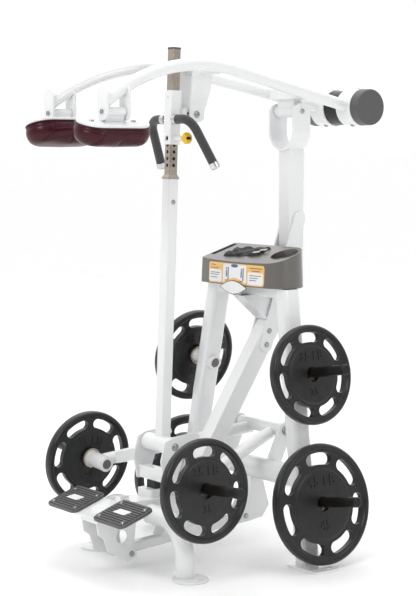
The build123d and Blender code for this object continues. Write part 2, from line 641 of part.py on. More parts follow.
side_outline = [
    (-302, 306), (-316, 394), (-297, 466), (-262, 480), (-150, 490), (-138, 464), (-214, 400),
    (-250, 304)]
lever_side = side_plate(side_outline, SIDE_PLATE_X, SIDE_PLATE_THICK, 8, [(*HUB, PIN_R)])
cross_box = block(
    -SIDE_PLATE_X, SIDE_PLATE_X, CROSS_BOX_FRONT, CROSS_BOX_REAR, CROSS_BOX_LOW, CROSS_BOX_HIGH)
wing_start, wing_end = Vector(60, -243, 409), Vector(260, -260, 352)
with BuildPart() as wing:
    with BuildSketch(Plane(origin=wing_start, x_dir=(0, 1, 0), z_dir=wing_end - wing_start)):
        RectangleRounded(52, 44, 6)
    extrude(amount=(wing_end - wing_start).length)
wing = largest(cut(
    wing.part, lever_arm_solid, horn_solid,
    block(0, SIDE_PLATE_X + SIDE_PLATE_THICK, -400, 0, 200, 600)))

hub_pin = headed_pin(HUB, SIDE_PLATE_X + SIDE_PLATE_THICK, PIN_R, 15)
save(pivot_tube, "lever_pivot_tube")
save(both(lever_arm), "lever_tubes")
save(both(lever_side), "lever_side_plates")
save(group(cross_box, both(wing)), "lever_crossmember")
save(both(sockets["lever"]), "lever_horns")
save(both(flanges["lever"]), "lever_flanges")
save(both(peg("lever")), "lever_pegs")
save(hub_pin, "hub_pin")
save(block(-28, 28, -300, -254, STEP_HIGH, CROSS_BOX_LOW - FIXED_GAP, 5), "lever_bumper")

# ---------------------------------------------------------------- post and height sleeve
lean = math.radians(POST_LEAN)
post_axis = Vector(0, math.sin(lean), math.cos(lean))
post_base = Vector(0, HUB[0] + POST_OFFSET, HUB[1])


def on_post(height, x=0.0, back=0.0):
    """A point beside the post's axis, a height along it."""
    behind = Vector(0, math.cos(lean), -math.sin(lean)) * back
    return tuple(post_base + post_axis * height + behind + Vector(x, 0, 0))


def post_piece(low, high, wide, corner, inner=0.0, inner_corner=1.0):
    """A square piece on the post's axis, hollow when it has an inner width."""
    with BuildPart() as piece:
        with BuildSketch(Plane(origin=on_post(low), x_dir=(1, 0, 0), z_dir=post_axis)):
            RectangleRounded(wide, wide, corner)
            if inner:
                RectangleRounded(inner, inner, inner_corner, mode=Mode.SUBTRACT)
        extrude(amount=high - low)
    return piece.part


hub_barrel = rod((-HUB_HALF, *HUB), (HUB_HALF, *HUB), HUB_R, PIN_R + RUNNING)
hub_solid = rod((-HUB_HALF, *HUB), (HUB_HALF, *HUB), HUB_R)
post_tube = cut(post_piece(0, POST_TOP, POST_WIDE, 5, CHROME_WIDE, 2), hub_solid)

with BuildPart() as collar:
    add(post_piece(POST_TOP, POST_TOP + COLLAR_LIP, POST_WIDE + 5, 5))
    for height, wide in ((COLLAR_LIP, POST_WIDE + 5), (COLLAR_TALL, CHROME_WIDE + 3)):
        with BuildSketch(Plane(origin=on_post(POST_TOP + height), x_dir=(1, 0, 0), z_dir=post_axis)):
            RectangleRounded(wide, wide, 4)
    loft()
chrome_solid = post_piece(CHROME_LOW, CHROME_TOP, CHROME_WIDE, 2)
hole_heights = [
    HOLES_FROM + HOLE_PITCH * step for step in range(int((HOLES_TO - HOLES_FROM) / HOLE_PITCH) + 1)]
with BuildPart() as chrome:
    add(post_piece(CHROME_LOW, CHROME_TOP, CHROME_WIDE, 2, CHROME_WIDE - 6, 1))
    for height in hole_heights:
        for face in (Vector(1, 0, 0), Vector(0, -math.cos(lean), math.sin(lean))):
            with BuildSketch(Plane(origin=on_post(height), z_dir=face)):
                Circle(HOLE_R)
            extrude(amount=CHROME_WIDE, mode=Mode.SUBTRACT)
cap = cut(
    post_piece(CHROME_TOP - CAP_SKIRT, CHROME_TOP + 4, CHROME_WIDE + 2, 3),
    post_piece(CHROME_TOP - CAP_SKIRT, CHROME_TOP, CHROME_WIDE, 2))
post_screw = dome_screw(
    Plane(origin=on_post(905, x=POST_WIDE / 2), z_dir=(1, 0, 0)), 9, 4, 3)

save(hub_barrel, "post_hub")
save(cut(post_tube, post_screw), "post_tube")
save(group(chrome.part, cut(collar.part, chrome_solid), post_screw), "chrome_tube")
save(cap, "post_cap")

sleeve_inner = CHROME_WIDE + 2 * SLEEVE_GAP
plunger_way = rod(on_post(PULL_HEIGHT, x=0), on_post(PULL_HEIGHT, x=120), PLUNGER_R + RUNNING)
lug_front = on_post((HANGER[1] - HUB[1]) / math.cos(lean))[1]
with BuildPart() as lug:
    with BuildSketch(Plane.YZ.offset(-LUG_HALF)):
        with Locations(((lug_front + LUG_REAR) / 2, HANGER[1])):
            RectangleRounded(LUG_REAR - lug_front, LUG_TALL, 10)
        with Locations(HANGER):
            SlotOverall(*LUG_SLOT, mode=Mode.SUBTRACT)
    extrude(amount=2 * LUG_HALF)
lug = cut(lug.part, post_piece(SLEEVE_LOW, SLEEVE_TOP, SLEEVE_WIDE, 3))
lug = trim(lug, on_post(SLEEVE_LOW, back=SLEEVE_WIDE / 2), (0, -math.cos(lean), math.sin(lean)))
sleeve = cut(
    group(post_piece(SLEEVE_LOW, SLEEVE_TOP, SLEEVE_WIDE, 3, sleeve_inner, 2), lug), plunger_way,
    rod(on_post(PULL_HEIGHT, back=-60), on_post(PULL_HEIGHT, back=-10), 10),
    rod(on_post(SLEEVE_TOP - 26, back=-60), on_post(SLEEVE_TOP - 26, back=-10), 3))


def handle(inner, outer, start, end):
    """A bent handle bar or grip from the sleeve out to the side and down."""
    with BuildPart() as bar:
        with BuildLine() as path:
            FilletPolyline(start, (HANDLE_OUT, HANDLE_Y, HANDLE_Z), end, radius=HANDLE_BEND)
        with BuildSketch(Plane(origin=start, z_dir=(1, 0, 0))):
            Circle(outer)
            if inner:
                Circle(inner, mode=Mode.SUBTRACT)
        sweep(path=path.line)
    return bar.part


grip_end = Vector(*HANDLE_END)
handle_drop = (grip_end - Vector(HANDLE_OUT, HANDLE_Y, HANDLE_Z)).normalized()
cap_end = grip_end + handle_drop * CAP_LONG
grip = handle(HANDLE_R, GRIP_R, (HANDLE_RING[1], HANDLE_Y, HANDLE_Z), HANDLE_END)
with BuildPart() as handle_cap:
    add(rod(HANDLE_END, tuple(cap_end), HANDLE_CAP))
    fillet(handle_cap.edges().filter_by(GeomType.CIRCLE).sort_by(Axis.Z)[0], 7)
handle_bar = group(
    handle(0, HANDLE_R, (SLEEVE_WIDE / 2 - 6, HANDLE_Y, HANDLE_Z), HANDLE_END),
    rod((HANDLE_RING[0], HANDLE_Y, HANDLE_Z), (HANDLE_RING[1], HANDLE_Y, HANDLE_Z), HANDLE_CAP),
    handle_cap.part)
handle_bar = cut(handle_bar, post_piece(SLEEVE_LOW, SLEEVE_TOP, SLEEVE_WIDE, 3))
pin_housing = rod(
    on_post(PULL_HEIGHT, x=SLEEVE_WIDE / 2), on_post(PULL_HEIGHT, x=BARREL_END), BARREL_R,
    PLUNGER_R + RUNNING)
plunger = rod(
    on_post(PULL_HEIGHT, x=CHROME_WIDE / 2 + SLEEVE_GAP), on_post(PULL_HEIGHT, x=KNOB_FROM),
    PLUNGER_R)
with BuildPart() as knob:
    add(rod(on_post(PULL_HEIGHT, x=KNOB_FROM), on_post(PULL_HEIGHT, x=KNOB_TO), KNOB_R))
    fillet(knob.edges().filter_by(GeomType.CIRCLE), 4)

save(sleeve, "height_sleeve")
save(both(handle_bar), "handle_bars")
save(both(grip), "handle_grips")
save(pin_housing, "pin_housing")
save(group(plunger, knob.part), "pull_pin")

# ---------------------------------------------------------------- arms
toe = math.radians(ARM_TOE)
rear_z = ARM_TANGENT_Z - (ARM_REAR_Y - ARM_TANGENT_Y) * math.tan(math.radians(ARM_SLOPE))


def arm(bore):
    """The right shoulder arm: straight from the counterweight, then curving down to the pad."""
    arm_plane = Plane(
        origin=(ARM_REAR_X, ARM_REAR_Y, 0), x_dir=(math.sin(toe), -math.cos(toe), 0),
        z_dir=(-math.cos(toe), -math.sin(toe), 0))
    rise = math.radians(ARM_SLOPE)
    tangent = ((ARM_REAR_Y - ARM_TANGENT_Y) / math.cos(toe), ARM_TANGENT_Z)
    front = (ARM_REAR_Y - ARM_FRONT_Y) / math.cos(toe)
    reach = front - tangent[0] - ARM_BEND * math.sin(rise)
    turn = ARM_SLOPE + math.degrees(math.asin(reach / ARM_BEND))
    with BuildPart() as tube:
        with BuildLine(arm_plane) as path:
            Line((0, rear_z), tangent)
            JernArc(tangent, (math.cos(rise), math.sin(rise)), ARM_BEND, -turn)
        with BuildSketch(Plane(origin=path.line @ 0, z_dir=path.line % 0)):
            Circle(ARM_R)
            if bore:
                Circle(bore, mode=Mode.SUBTRACT)
        sweep(path=path.line)
    return tube.part


clamp_solid = rod((CLAMP_X - CLAMP_WIDE / 2, WEIGHT_Y, WEIGHT_Z),
                  (CLAMP_X + CLAMP_WIDE / 2, WEIGHT_Y, WEIGHT_Z), CLAMP_R)
roll_way = rod((SHOULDER_X, FRONT_EAR[1], ROLL_Z), (SHOULDER_X, REAR_EAR[1], ROLL_Z), ROLL_R + 3)
ear_front_solid = block(100, 260, FRONT_EAR[0] - 30, FRONT_EAR[1], 1500, 1900)
arm_solid = arm(0)
arm_tube = cut(arm(ARM_BORE), clamp_solid, roll_way, ear_front_solid)


def roll_ear(span, top):
    """An upright plate across the arm that carries the shoulder pad's roll pin."""
    with BuildPart() as plate:
        with BuildSketch(Plane.XZ.offset(-span[1])):
            with Locations((SHOULDER_X, (ROLL_Z + top - EAR_HALF) / 2)):
                SlotCenterToCenter(top - EAR_HALF - ROLL_Z, 2 * EAR_HALF, rotation=90)
            with Locations((SHOULDER_X, ROLL_Z)):
                Circle(ROLL_PIN_R, mode=Mode.SUBTRACT)
        extrude(amount=span[1] - span[0])
    return plate.part


arm_box = cut(
    block(-ARM_BOX_HALF, ARM_BOX_HALF, YOKE[0] - ARM_BOX_DEEP / 2, YOKE[0] + ARM_BOX_DEEP / 2,
          YOKE[1] + YOKE_WIDE / 2 + 3, ARM_BOX_HIGH, 3), both(arm_solid))
box_lug = cut(
    block(-50, 50, YOKE[0] - 20, YOKE[0] + 20, YOKE[1], YOKE[1] + YOKE_WIDE / 2 + 3, 3),
    rod((-BARREL_HALF, *YOKE), (BARREL_HALF, *YOKE), BARREL_OUTER))
barrel = rod((-BARREL_HALF, *YOKE), (BARREL_HALF, *YOKE), BARREL_OUTER, PIN_R + RUNNING)
hanger_tube = cut(
    rod((-140, *HANGER_TUBE), (140, *HANGER_TUBE), HANGER_TUBE_R), both(arm_solid))
hanger_outline = [
    (-132, 1850), (-44, 1850), (-52, 1770), (-88, 1668), (-98, 1642), (-140, 1642), (-150, 1668)]
hanger_plate = cut(
    side_plate(hanger_outline, HANGER_X, HANGER_THICK, 9, [(*HANGER, HANGER_PIN_R)]),
    rod((-140, *HANGER_TUBE), (140, *HANGER_TUBE), HANGER_TUBE_R))

clamp = cut(clamp_solid, rod((0, WEIGHT_Y, WEIGHT_Z), (200, WEIGHT_Y, WEIGHT_Z), CORE_R))
inner_face, outer_face = CLAMP_X - CLAMP_WIDE / 2, CLAMP_X + CLAMP_WIDE / 2
weight_core = group(
    rod((-inner_face, WEIGHT_Y, WEIGHT_Z), (inner_face, WEIGHT_Y, WEIGHT_Z), WEIGHT_R),
    rod((-outer_face, WEIGHT_Y, WEIGHT_Z), (outer_face, WEIGHT_Y, WEIGHT_Z), CORE_R))
with BuildPart() as weight_cap:
    add(rod((outer_face, WEIGHT_Y, WEIGHT_Z), (CAP_END, WEIGHT_Y, WEIGHT_Z), CAP_R))
    fillet(weight_cap.edges().sort_by(Axis.X)[-1], 8)

hanger_pin = headed_pin(HANGER, HANGER_X + HANGER_THICK, HANGER_PIN_R, 13)
clamp_bolts = [
    both(dome_screw(Plane(origin=(CLAMP_X, WEIGHT_Y - 17, WEIGHT_Z - 70), z_dir=(0, 0, -1)), 9, 5, 9)),
    both(dome_screw(Plane(origin=(CLAMP_X, WEIGHT_Y + 17, WEIGHT_Z + 70), z_dir=(0, 0, 1)), 9, 5, 9))]
roll_pins = both(rod(
    (SHOULDER_X, FRONT_EAR[0] - 6, ROLL_Z), (SHOULDER_X, REAR_EAR[1] + 6, ROLL_Z), ROLL_PIN_R))
clamp = cut(clamp, *clamp_bolts)

save(both(arm_tube), "arm_tubes")
save(group(arm_box, box_lug, barrel), "arm_crossmember")
save(group(hanger_tube, both(hanger_plate)), "hanger")
save(both(group(roll_ear(FRONT_EAR, FRONT_EAR_TOP),
                cut(roll_ear(REAR_EAR, REAR_EAR_TOP), arm_solid))), "arm_ears")
save(group(hanger_pin, roll_pins, *clamp_bolts), "arm_bolts")
save(both(clamp), "counterweight_collars")
save(weight_core, "counterweight_cylinder")
save(both(weight_cap.part), "counterweight_caps")
save(headed_pin(YOKE, YOKE_HALF + FIXED_GAP, PIN_R, 20), "yoke_pin")


# ---------------------------------------------------------------- shoulder pads
def pad_bracket():
    """The right pad's backing plate, with the web and barrel that it rolls on."""
    front, rear = SHOULDER_FRONT + PLATE_MARGIN, SHOULDER_REAR - PLATE_MARGIN
    with BuildPart() as plate:
        with BuildSketch(Plane.XY.offset(SHOULDER_HIGH)):
            with Locations((SHOULDER_X, (front + rear) / 2)):
                SlotOverall(rear - front, 2 * (SHOULDER_HALF - PLATE_MARGIN), rotation=90)
        extrude(amount=SHOULDER_PLATE - SHOULDER_HIGH)
        fillet(plate.edges().group_by(Axis.Z)[-1], 2)
    tube = rod((SHOULDER_X, FRONT_EAR[1] + 1.5, ROLL_Z), (SHOULDER_X, REAR_EAR[0] - 1.5, ROLL_Z),
               ROLL_R, ROLL_PIN_R + RUNNING)
    web = block(SHOULDER_X - 12, SHOULDER_X + 12, FRONT_EAR[1] + 3, REAR_EAR[0] - 3,
                SHOULDER_PLATE - 1, ROLL_Z - 5)
    web = cut(web, rod((SHOULDER_X, -700, ROLL_Z), (SHOULDER_X, -400, ROLL_Z), ROLL_R))
    return group(plate.part, web, tube)


def rolled(part):
    """A right-hand pad piece, turned outward about its roll pin to slope like a shoulder."""
    return part.rotate(Axis((SHOULDER_X, 0, ROLL_Z), (0, 1, 0)), SHOULDER_ROLL)


def cushion():
    """The right shoulder cushion: a stadium-shaped pad."""
    with BuildPart() as pad:
        with BuildSketch(Plane.XY.offset(SHOULDER_LOW)):
            with Locations((SHOULDER_X, (SHOULDER_FRONT + SHOULDER_REAR) / 2)):
                SlotOverall(SHOULDER_REAR - SHOULDER_FRONT, 2 * SHOULDER_HALF, rotation=90)
        extrude(amount=SHOULDER_HIGH - SHOULDER_LOW)
        fillet(pad.edges().group_by(Axis.Z)[0], 14)
        fillet(pad.edges().group_by(Axis.Z)[-1], 10)
    return pad.part


for pad_piece, pad_name in ((pad_bracket(), "pad_bracket"), (cushion(), "shoulder_pad")):
    right_piece = rolled(pad_piece)
    save(mirror(right_piece, about=Plane.YZ), f"{pad_name}_left")
    save(right_piece, f"{pad_name}_right")
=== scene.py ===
"""Looks for the standing calf raise machine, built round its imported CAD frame. Metres."""

import bmesh
import bpy
import json
import math
from mathutils import Matrix, Vector, kdtree
from mathutils.bvhtree import BVHTree


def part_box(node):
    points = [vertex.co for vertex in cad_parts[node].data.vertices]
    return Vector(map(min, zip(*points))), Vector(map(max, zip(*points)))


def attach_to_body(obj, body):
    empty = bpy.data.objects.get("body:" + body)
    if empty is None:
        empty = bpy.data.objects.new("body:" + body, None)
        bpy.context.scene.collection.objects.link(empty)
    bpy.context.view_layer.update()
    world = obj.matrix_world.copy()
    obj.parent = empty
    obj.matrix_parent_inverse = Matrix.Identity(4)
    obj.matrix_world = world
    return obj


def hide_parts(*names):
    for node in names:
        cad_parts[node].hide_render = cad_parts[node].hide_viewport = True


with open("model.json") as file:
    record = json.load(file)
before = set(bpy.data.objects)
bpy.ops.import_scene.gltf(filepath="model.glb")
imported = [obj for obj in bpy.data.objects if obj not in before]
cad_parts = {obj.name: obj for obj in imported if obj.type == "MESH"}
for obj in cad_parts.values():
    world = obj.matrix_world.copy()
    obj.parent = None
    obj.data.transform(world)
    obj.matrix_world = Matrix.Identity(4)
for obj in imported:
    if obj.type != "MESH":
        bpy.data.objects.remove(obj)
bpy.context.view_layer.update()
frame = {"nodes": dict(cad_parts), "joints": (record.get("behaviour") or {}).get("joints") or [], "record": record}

MM = 0.001
UP = Vector((0, 0, 1))
SIDES = {"left": -1, "right": 1}
record = frame["record"]
joints = {joint["name"]: joint for joint in frame["joints"]}
slot_of_node = {row["node"]: row["material_slot"] for row in record["subparts"]}
body_of_node = {
    node: body for body, nodes in record["behaviour"]["bodies"].items() for node in nodes}


# -------------------- materials
TONE_SPREAD, RELIEF_DEPTH = 0.35, 0.4 * MM


def finish(name, colour, rough, *, second, grain, bump, bump_scale=400.0, metal=0.0, coat=0.0,
           coat_rough=0.1, cells=False, stretch=(1, 1, 1), rough_spread=0.06, sheen=0.0,
           specular=0.5):
    """A procedural finish: two tones mixed by noise, uneven gloss and a fine surface relief."""
    made = bpy.data.materials.new(name)
    made.use_nodes = True
    nodes, links = made.node_tree.nodes, made.node_tree.links
    shader = nodes["Principled BSDF"]
    shader.inputs["Metallic"].default_value = metal
    shader.inputs["Coat Weight"].default_value = coat
    shader.inputs["Coat Roughness"].default_value = coat_rough
    shader.inputs["Sheen Weight"].default_value = sheen
    shader.inputs["Specular IOR Level"].default_value = specular
    place = nodes.new("ShaderNodeTexCoord")
    scaled = nodes.new("ShaderNodeMapping")
    scaled.inputs["Scale"].default_value = stretch
    links.new(place.outputs["Object"], scaled.inputs["Vector"])
    tone = nodes.new("ShaderNodeTexNoise")
    tone.inputs["Scale"].default_value = grain
    tone.inputs["Detail"].default_value = 5.0
    links.new(scaled.outputs["Vector"], tone.inputs["Vector"])
    ramp = nodes.new("ShaderNodeValToRGB")
    ramp.color_ramp.elements[0].position = 0.5 - TONE_SPREAD / 2
    ramp.color_ramp.elements[0].color = (*second, 1)
    ramp.color_ramp.elements[1].position = 0.5 + TONE_SPREAD / 2
    ramp.color_ramp.elements[1].color = (*colour, 1)
    links.new(tone.outputs["Fac"], ramp.inputs["Fac"])
    links.new(ramp.outputs["Color"], shader.inputs["Base Color"])
    gloss = nodes.new("ShaderNodeMapRange")
    gloss.inputs["To Min"].default_value = max(rough - rough_spread, 0.02)
    gloss.inputs["To Max"].default_value = rough + rough_spread
    links.new(tone.outputs["Fac"], gloss.inputs["Value"])
    links.new(gloss.outputs["Result"], shader.inputs["Roughness"])
    relief = nodes.new("ShaderNodeTexVoronoi" if cells else "ShaderNodeTexNoise")
    relief.inputs["Scale"].default_value = bump_scale
    links.new(scaled.outputs["Vector"], relief.inputs["Vector"])
    lift = nodes.new("ShaderNodeBump")
    lift.inputs["Strength"].default_value = bump
    lift.inputs["Distance"].default_value = RELIEF_DEPTH
    links.new(relief.outputs["Distance" if cells else "Fac"], lift.inputs["Height"])
    links.new(lift.outputs["Normal"], shader.inputs["Normal"])
    return made


FINISHES = {
    "white_frame": finish(
        "white_powder_coat", (0.79, 0.795, 0.80), 0.26, coat=0.7, coat_rough=0.05,
        second=(0.783, 0.788, 0.793), grain=9, bump=0.03, bump_scale=520, rough_spread=0.02),
    "satin_nickel": finish(
        "satin_nickel", (0.47, 0.42, 0.36), 0.24, metal=1.0, second=(0.38, 0.33, 0.28), grain=30,
        stretch=(40, 40, 1), bump=0.1, bump_scale=60),
    "bright_chrome": finish(
        "bright_chrome", (0.60, 0.60, 0.62), 0.1, metal=1.0, second=(0.54, 0.54, 0.56), grain=20,
        rough_spread=0.03, bump=0.03),
    "black_iron": finish(
        "black_enamelled_iron", (0.013, 0.0135, 0.014), 0.36, coat=0.12, coat_rough=0.22,
        second=(0.009, 0.009, 0.0095), grain=45, bump=0.35, bump_scale=330, specular=0.35),
    "black_bar": finish(
        "black_bar", (0.008, 0.007, 0.006), 0.34, coat=0.12, second=(0.005, 0.0045, 0.004), grain=80,
        stretch=(1, 12, 12), bump=0.12, specular=0.3),
    "champagne_flange": finish(
        "champagne_aluminium", (0.66, 0.59, 0.50), 0.34, metal=1.0, second=(0.55, 0.48, 0.40),
        grain=120, bump=0.12, bump_scale=900),
    "grip_foam": finish(
        "grip_foam", (0.034, 0.034, 0.036), 0.62, second=(0.024, 0.024, 0.025), grain=220, bump=0.5,
        bump_scale=900, cells=True, sheen=0.25),
    "burgundy_leather": finish(
        "burgundy_leather", (0.048, 0.003, 0.009), 0.34, coat=0.22, coat_rough=0.18,
        second=(0.036, 0.0022, 0.0065), grain=55, bump=0.3, bump_scale=560, cells=True,
        rough_spread=0.05, specular=0.15),
    "console_plastic": finish(
        "bronze_grey_plastic", (0.185, 0.176, 0.165), 0.32, metal=0.6, coat=0.2, coat_rough=0.15,
        second=(0.150, 0.142, 0.133), grain=700, bump=0.2, bump_scale=1100),
    "placard": finish(
        "orange_film", (0.86, 0.50, 0.13), 0.3, coat=0.3, second=(0.83, 0.47, 0.115), grain=30,
        bump=0.04),
    "black_rubber": finish(
        "black_rubber", (0.028, 0.028, 0.029), 0.66, second=(0.020, 0.020, 0.020), grain=150,
        bump=0.5, bump_scale=700),
    "grey_cap": finish(
        "grey_plastic", (0.088, 0.088, 0.091), 0.45, second=(0.072, 0.072, 0.074), grain=260,
        bump=0.5, bump_scale=800),
    "zinc_fastener": finish(
        "zinc_plate", (0.40, 0.42, 0.42), 0.22, metal=1.0, second=(0.30, 0.32, 0.32), grain=240,
        bump=0.12, bump_scale=900),
    "yellow_knob": finish(
        "yellow_plastic", (0.86, 0.53, 0.02), 0.3, coat=0.3, second=(0.80, 0.47, 0.015), grain=160,
        bump=0.12, bump_scale=700),
}
FOOT_RUBBER = finish(
    "grey_foot_rubber", (0.105, 0.105, 0.107), 0.5, second=(0.080, 0.080, 0.081), grain=180, bump=0.5,
    bump_scale=650)
SOCKET_PLUG = finish(
    "warm_grey_plug", (0.150, 0.138, 0.120), 0.4, second=(0.120, 0.110, 0.096), grain=200, bump=0.2,
    bump_scale=700)
WHITE_FILM = finish(
    "white_film", (0.80, 0.80, 0.80), 0.32, coat=0.3, second=(0.77, 0.775, 0.78), grain=25, bump=0.04)
BLUE_INK = finish(
    "blue_ink", (0.030, 0.130, 0.330), 0.35, coat=0.3, second=(0.025, 0.110, 0.290), grain=60,
    bump=0.04)
GREY_INK = finish(
    "grey_ink", (0.130, 0.130, 0.130), 0.4, coat=0.3, second=(0.105, 0.105, 0.105), grain=60, bump=0.04)
BLACK_INK = finish(
    "black_ink", (0.020, 0.020, 0.020), 0.4, second=(0.015, 0.015, 0.015), grain=60, bump=0.04)
FLOOR = finish(
    "pale_floor", (0.95, 0.95, 0.95), 0.8, second=(0.94, 0.94, 0.94), grain=1.5, bump=0.02)


# -------------------- mesh helpers
def add_mesh(name, points, faces, material, angle=35.0):
    """A new object from points and faces, smooth except at edges sharper than the angle."""
    mesh = bpy.data.meshes.new(name)
    mesh.from_pydata([tuple(point) for point in points], [], faces)
    shape = bmesh.new()
    shape.from_mesh(mesh)
    bmesh.ops.recalc_face_normals(shape, faces=shape.faces)
    shape.to_mesh(mesh)
    shape.free()
    return add_piece(name, mesh, material, angle)


def add_piece(name, mesh, material, angle=35.0):
    """An object for a finished mesh, with one material."""
    mesh.shade_smooth()
    mesh.set_sharp_from_angle(angle=math.radians(angle))
    mesh.materials.clear()
    mesh.materials.append(material)
    piece = bpy.data.objects.new(name, mesh)
    bpy.context.scene.collection.objects.link(piece)
    return piece


def attach(piece, body):
    """The piece moves with a body."""
    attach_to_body(piece, body)


def bevel(piece, width, segments=3, angle=40.0):
    """Rounded edges on a piece."""
    rounding = piece.modifiers.new("rounding", "BEVEL")
    rounding.width = width
    rounding.segments = segments
    rounding.limit_method = "ANGLE"
    rounding.angle_limit = math.radians(angle)
    rounding.harden_normals = True


def weld(piece):
    """Joins points that lie on each other."""
    joined = piece.modifiers.new("weld", "WELD")
    joined.merge_threshold = 0.01 * MM


def voxels(piece, size):
    """An even new mesh over the piece's whole surface."""
    remesh = piece.modifiers.new("remesh", "REMESH")
    remesh.mode = "VOXEL"
    remesh.voxel_size = size


def applied(piece):
    """Makes the piece's modifiers part of its mesh."""
    graph = bpy.context.evaluated_depsgraph_get()
    mesh = bpy.data.meshes.new_from_object(piece.evaluated_get(graph))
    piece.modifiers.clear()
    piece.data = mesh


def rounded(points, radius, steps=5, closed=False):
    """A line of points with each corner turned into a short curve."""
    points = [Vector(point) for point in points]
    count = len(points)
    line = []
    for index, corner in enumerate(points):
        if not closed and index in (0, count - 1):
            line.append(corner)
            continue
        before, after = points[index - 1] - corner, points[(index + 1) % count] - corner
        start = corner + before.normalized() * min(radius, before.length * 0.49)
        end = corner + after.normalized() * min(radius, after.length * 0.49)
        for step in range(steps + 1):
            t = step / steps
            line.append(start * (1 - t) ** 2 + corner * 2 * t * (1 - t) + end * t * t)
    return line


def rectangle(half_x, half_y, radius, steps):
    """A rounded rectangle about the origin."""
    corners = [(-half_x, -half_y), (half_x, -half_y), (half_x, half_y), (-half_x, half_y)]
    return rounded(corners, radius, steps, True)


def placement(origin, x_axis, z_axis):
    """A placement from its origin and its X and Z axes."""
    place = Matrix((x_axis, z_axis.cross(x_axis), z_axis)).transposed().to_4x4()
    place.translation = Vector(origin)
    return place


def basis(origin, z_axis, y_hint=UP):
    """A placement with its Z along an axis and its Y close to a second direction."""
    z_axis = Vector(z_axis).normalized()
    return placement(origin, Vector(y_hint).cross(z_axis).normalized(), z_axis)


def lathe(name, profile, place, material, segments=64, angle=30.0):
    """A turned piece; the profile is (radius, height) about the placement's Z."""
    points, faces, rows = [], [], []
    for radius, height in profile:
        if radius < 1e-7:  # a point on the axis
            rows.append([len(points)])
            points.append(place @ Vector((0, 0, height)))
            continue
        rows.append(list(range(len(points), len(points) + segments)))
        for step in range(segments):
            turn = 2 * math.pi * step / segments
            points.append(place @ Vector((radius * math.cos(turn), radius * math.sin(turn), height)))
    for low, high in zip(rows, rows[1:]):
        for step in range(segments):
            following = (step + 1) % segments
            if len(low) == 1:
                faces.append((low[0], high[step], high[following]))
            elif len(high) == 1:
                faces.append((low[step], high[0], low[following]))
            else:
                faces.append((low[step], high[step], high[following], low[following]))
    return add_mesh(name, points, faces, material, angle)


def slab(name, outline, thick, place, material):
    """A flat piece of a given outline, from the placement's plane up along its Z."""
    count = len(outline)
    points = [place @ Vector((point[0], point[1], height)) for height in (0, thick) for point in outline]
    faces = [tuple(range(count - 1, -1, -1)), tuple(range(count, 2 * count))]
    faces += [
        (step, (step + 1) % count, count + (step + 1) % count, count + step) for step in range(count)]
    return add_mesh(name, points, faces, material)


def tube(name, line, radius, material, sides=12, closed=False):
    """A round bead along a line of points."""
    line = [Vector(point) for point in line]
    count = len(line)
    points, faces = [], []
    side = UP
    for index, centre in enumerate(line):
        ahead = line[(index + 1) % count] if closed or index + 1 < count else centre
        behind = line[index - 1] if closed or index else centre
        along = (ahead - behind).normalized()
        side = (side - along * side.dot(along)).normalized()
        across = along.cross(side)
        for step in range(sides):
            turn = 2 * math.pi * step / sides
            points.append(centre + (side * math.cos(turn) + across * math.sin(turn)) * radius)
    rows = count if closed else count - 1
    for row in range(rows):
        for step in range(sides):
            low, high = row * sides, ((row + 1) % count) * sides
            following = (step + 1) % sides
            faces.append((low + step, low + following, high + following, high + step))
    if not closed:
        faces.append(tuple(range(sides)))
        faces.append(tuple(range((count - 1) * sides, count * sides)))
    return add_mesh(name, points, faces, material)


def surface(node):
    """A CAD node's surface, for finding points on it."""
    mesh = frame["nodes"][node].data
    points = [vertex.co.copy() for vertex in mesh.vertices]
    return BVHTree.FromPolygons(points, [tuple(polygon.vertices) for polygon in mesh.polygons])


def middle(node):
    """The centre of a CAD node's box."""
    low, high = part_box(node)
    return (low + high) / 2


# a bolt's dome head, as (radius, height) in millimetres
DOME = [(0, 5.5), (4, 5.1), (7.5, 3.6), (9.6, 1.2), (10, 0), (0, 0)]


def dome_head(name, place, body):
    """A zinc dome head that stands on the placement's plane."""
    head = lathe(name, DOME, place @ Matrix.Scale(MM, 4), FINISHES["zinc_fastener"], 40)
    attach(head, body)


# -------------------- CAD nodes that show
EDGE_WIDTH = {"white_frame": 1.2 * MM, "black_bar": 0.8 * MM, "console_plastic": 2.0 * MM,
              "grey_cap": 0.8 * MM, "champagne_flange": 1.0 * MM, "black_rubber": 1.5 * MM}


def soften(piece, width):
    """Small rounded edges on a CAD shape, with its flat faces kept flat."""
    weld(piece)
    flat = piece.modifiers.new("flat", "DECIMATE")
    flat.decimate_type = "DISSOLVE"
    flat.angle_limit = math.radians(0.4)
    bevel(piece, width, 2, 38)
    weighted = piece.modifiers.new("weighted", "WEIGHTED_NORMAL")
    weighted.keep_sharp = True


def reshaped(node, move):
    """A CAD node's shape with its points moved by a function, shown in place of the node."""
    slot_name = slot_of_node[node]
    mesh = frame["nodes"][node].data.copy()
    for vertex in mesh.vertices:
        vertex.co = move(vertex.co.copy())
    piece = add_piece(node + "_shown", mesh, FINISHES[slot_name])
    soften(piece, EDGE_WIDTH[slot_name])
    attach(piece, body_of_node[node])
    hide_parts(node)


for row in record["subparts"]:
    shown = frame["nodes"][row["node"]]
    shown.data.materials.clear()
    shown.data.materials.append(FINISHES[row["material_slot"]])
    width = EDGE_WIDTH.get(row["material_slot"])
    if width:
        soften(shown, width)


# the yoke's height over its pivot in the CAD and here, and the ring round its bore that stays
YOKE_RISE, YOKE_TOP, YOKE_BORE = 43 * MM, 31 * MM, 20 * MM
YOKE_FACE, YOKE_PIN_R, WASHER_THICK = 76.3 * MM, 12.5 * MM, 1.4
YOKE_WASHER = [(0, WASHER_THICK), (14.5, WASHER_THICK), (15.3, 0.6), (15.3, 0), (0, 0)]
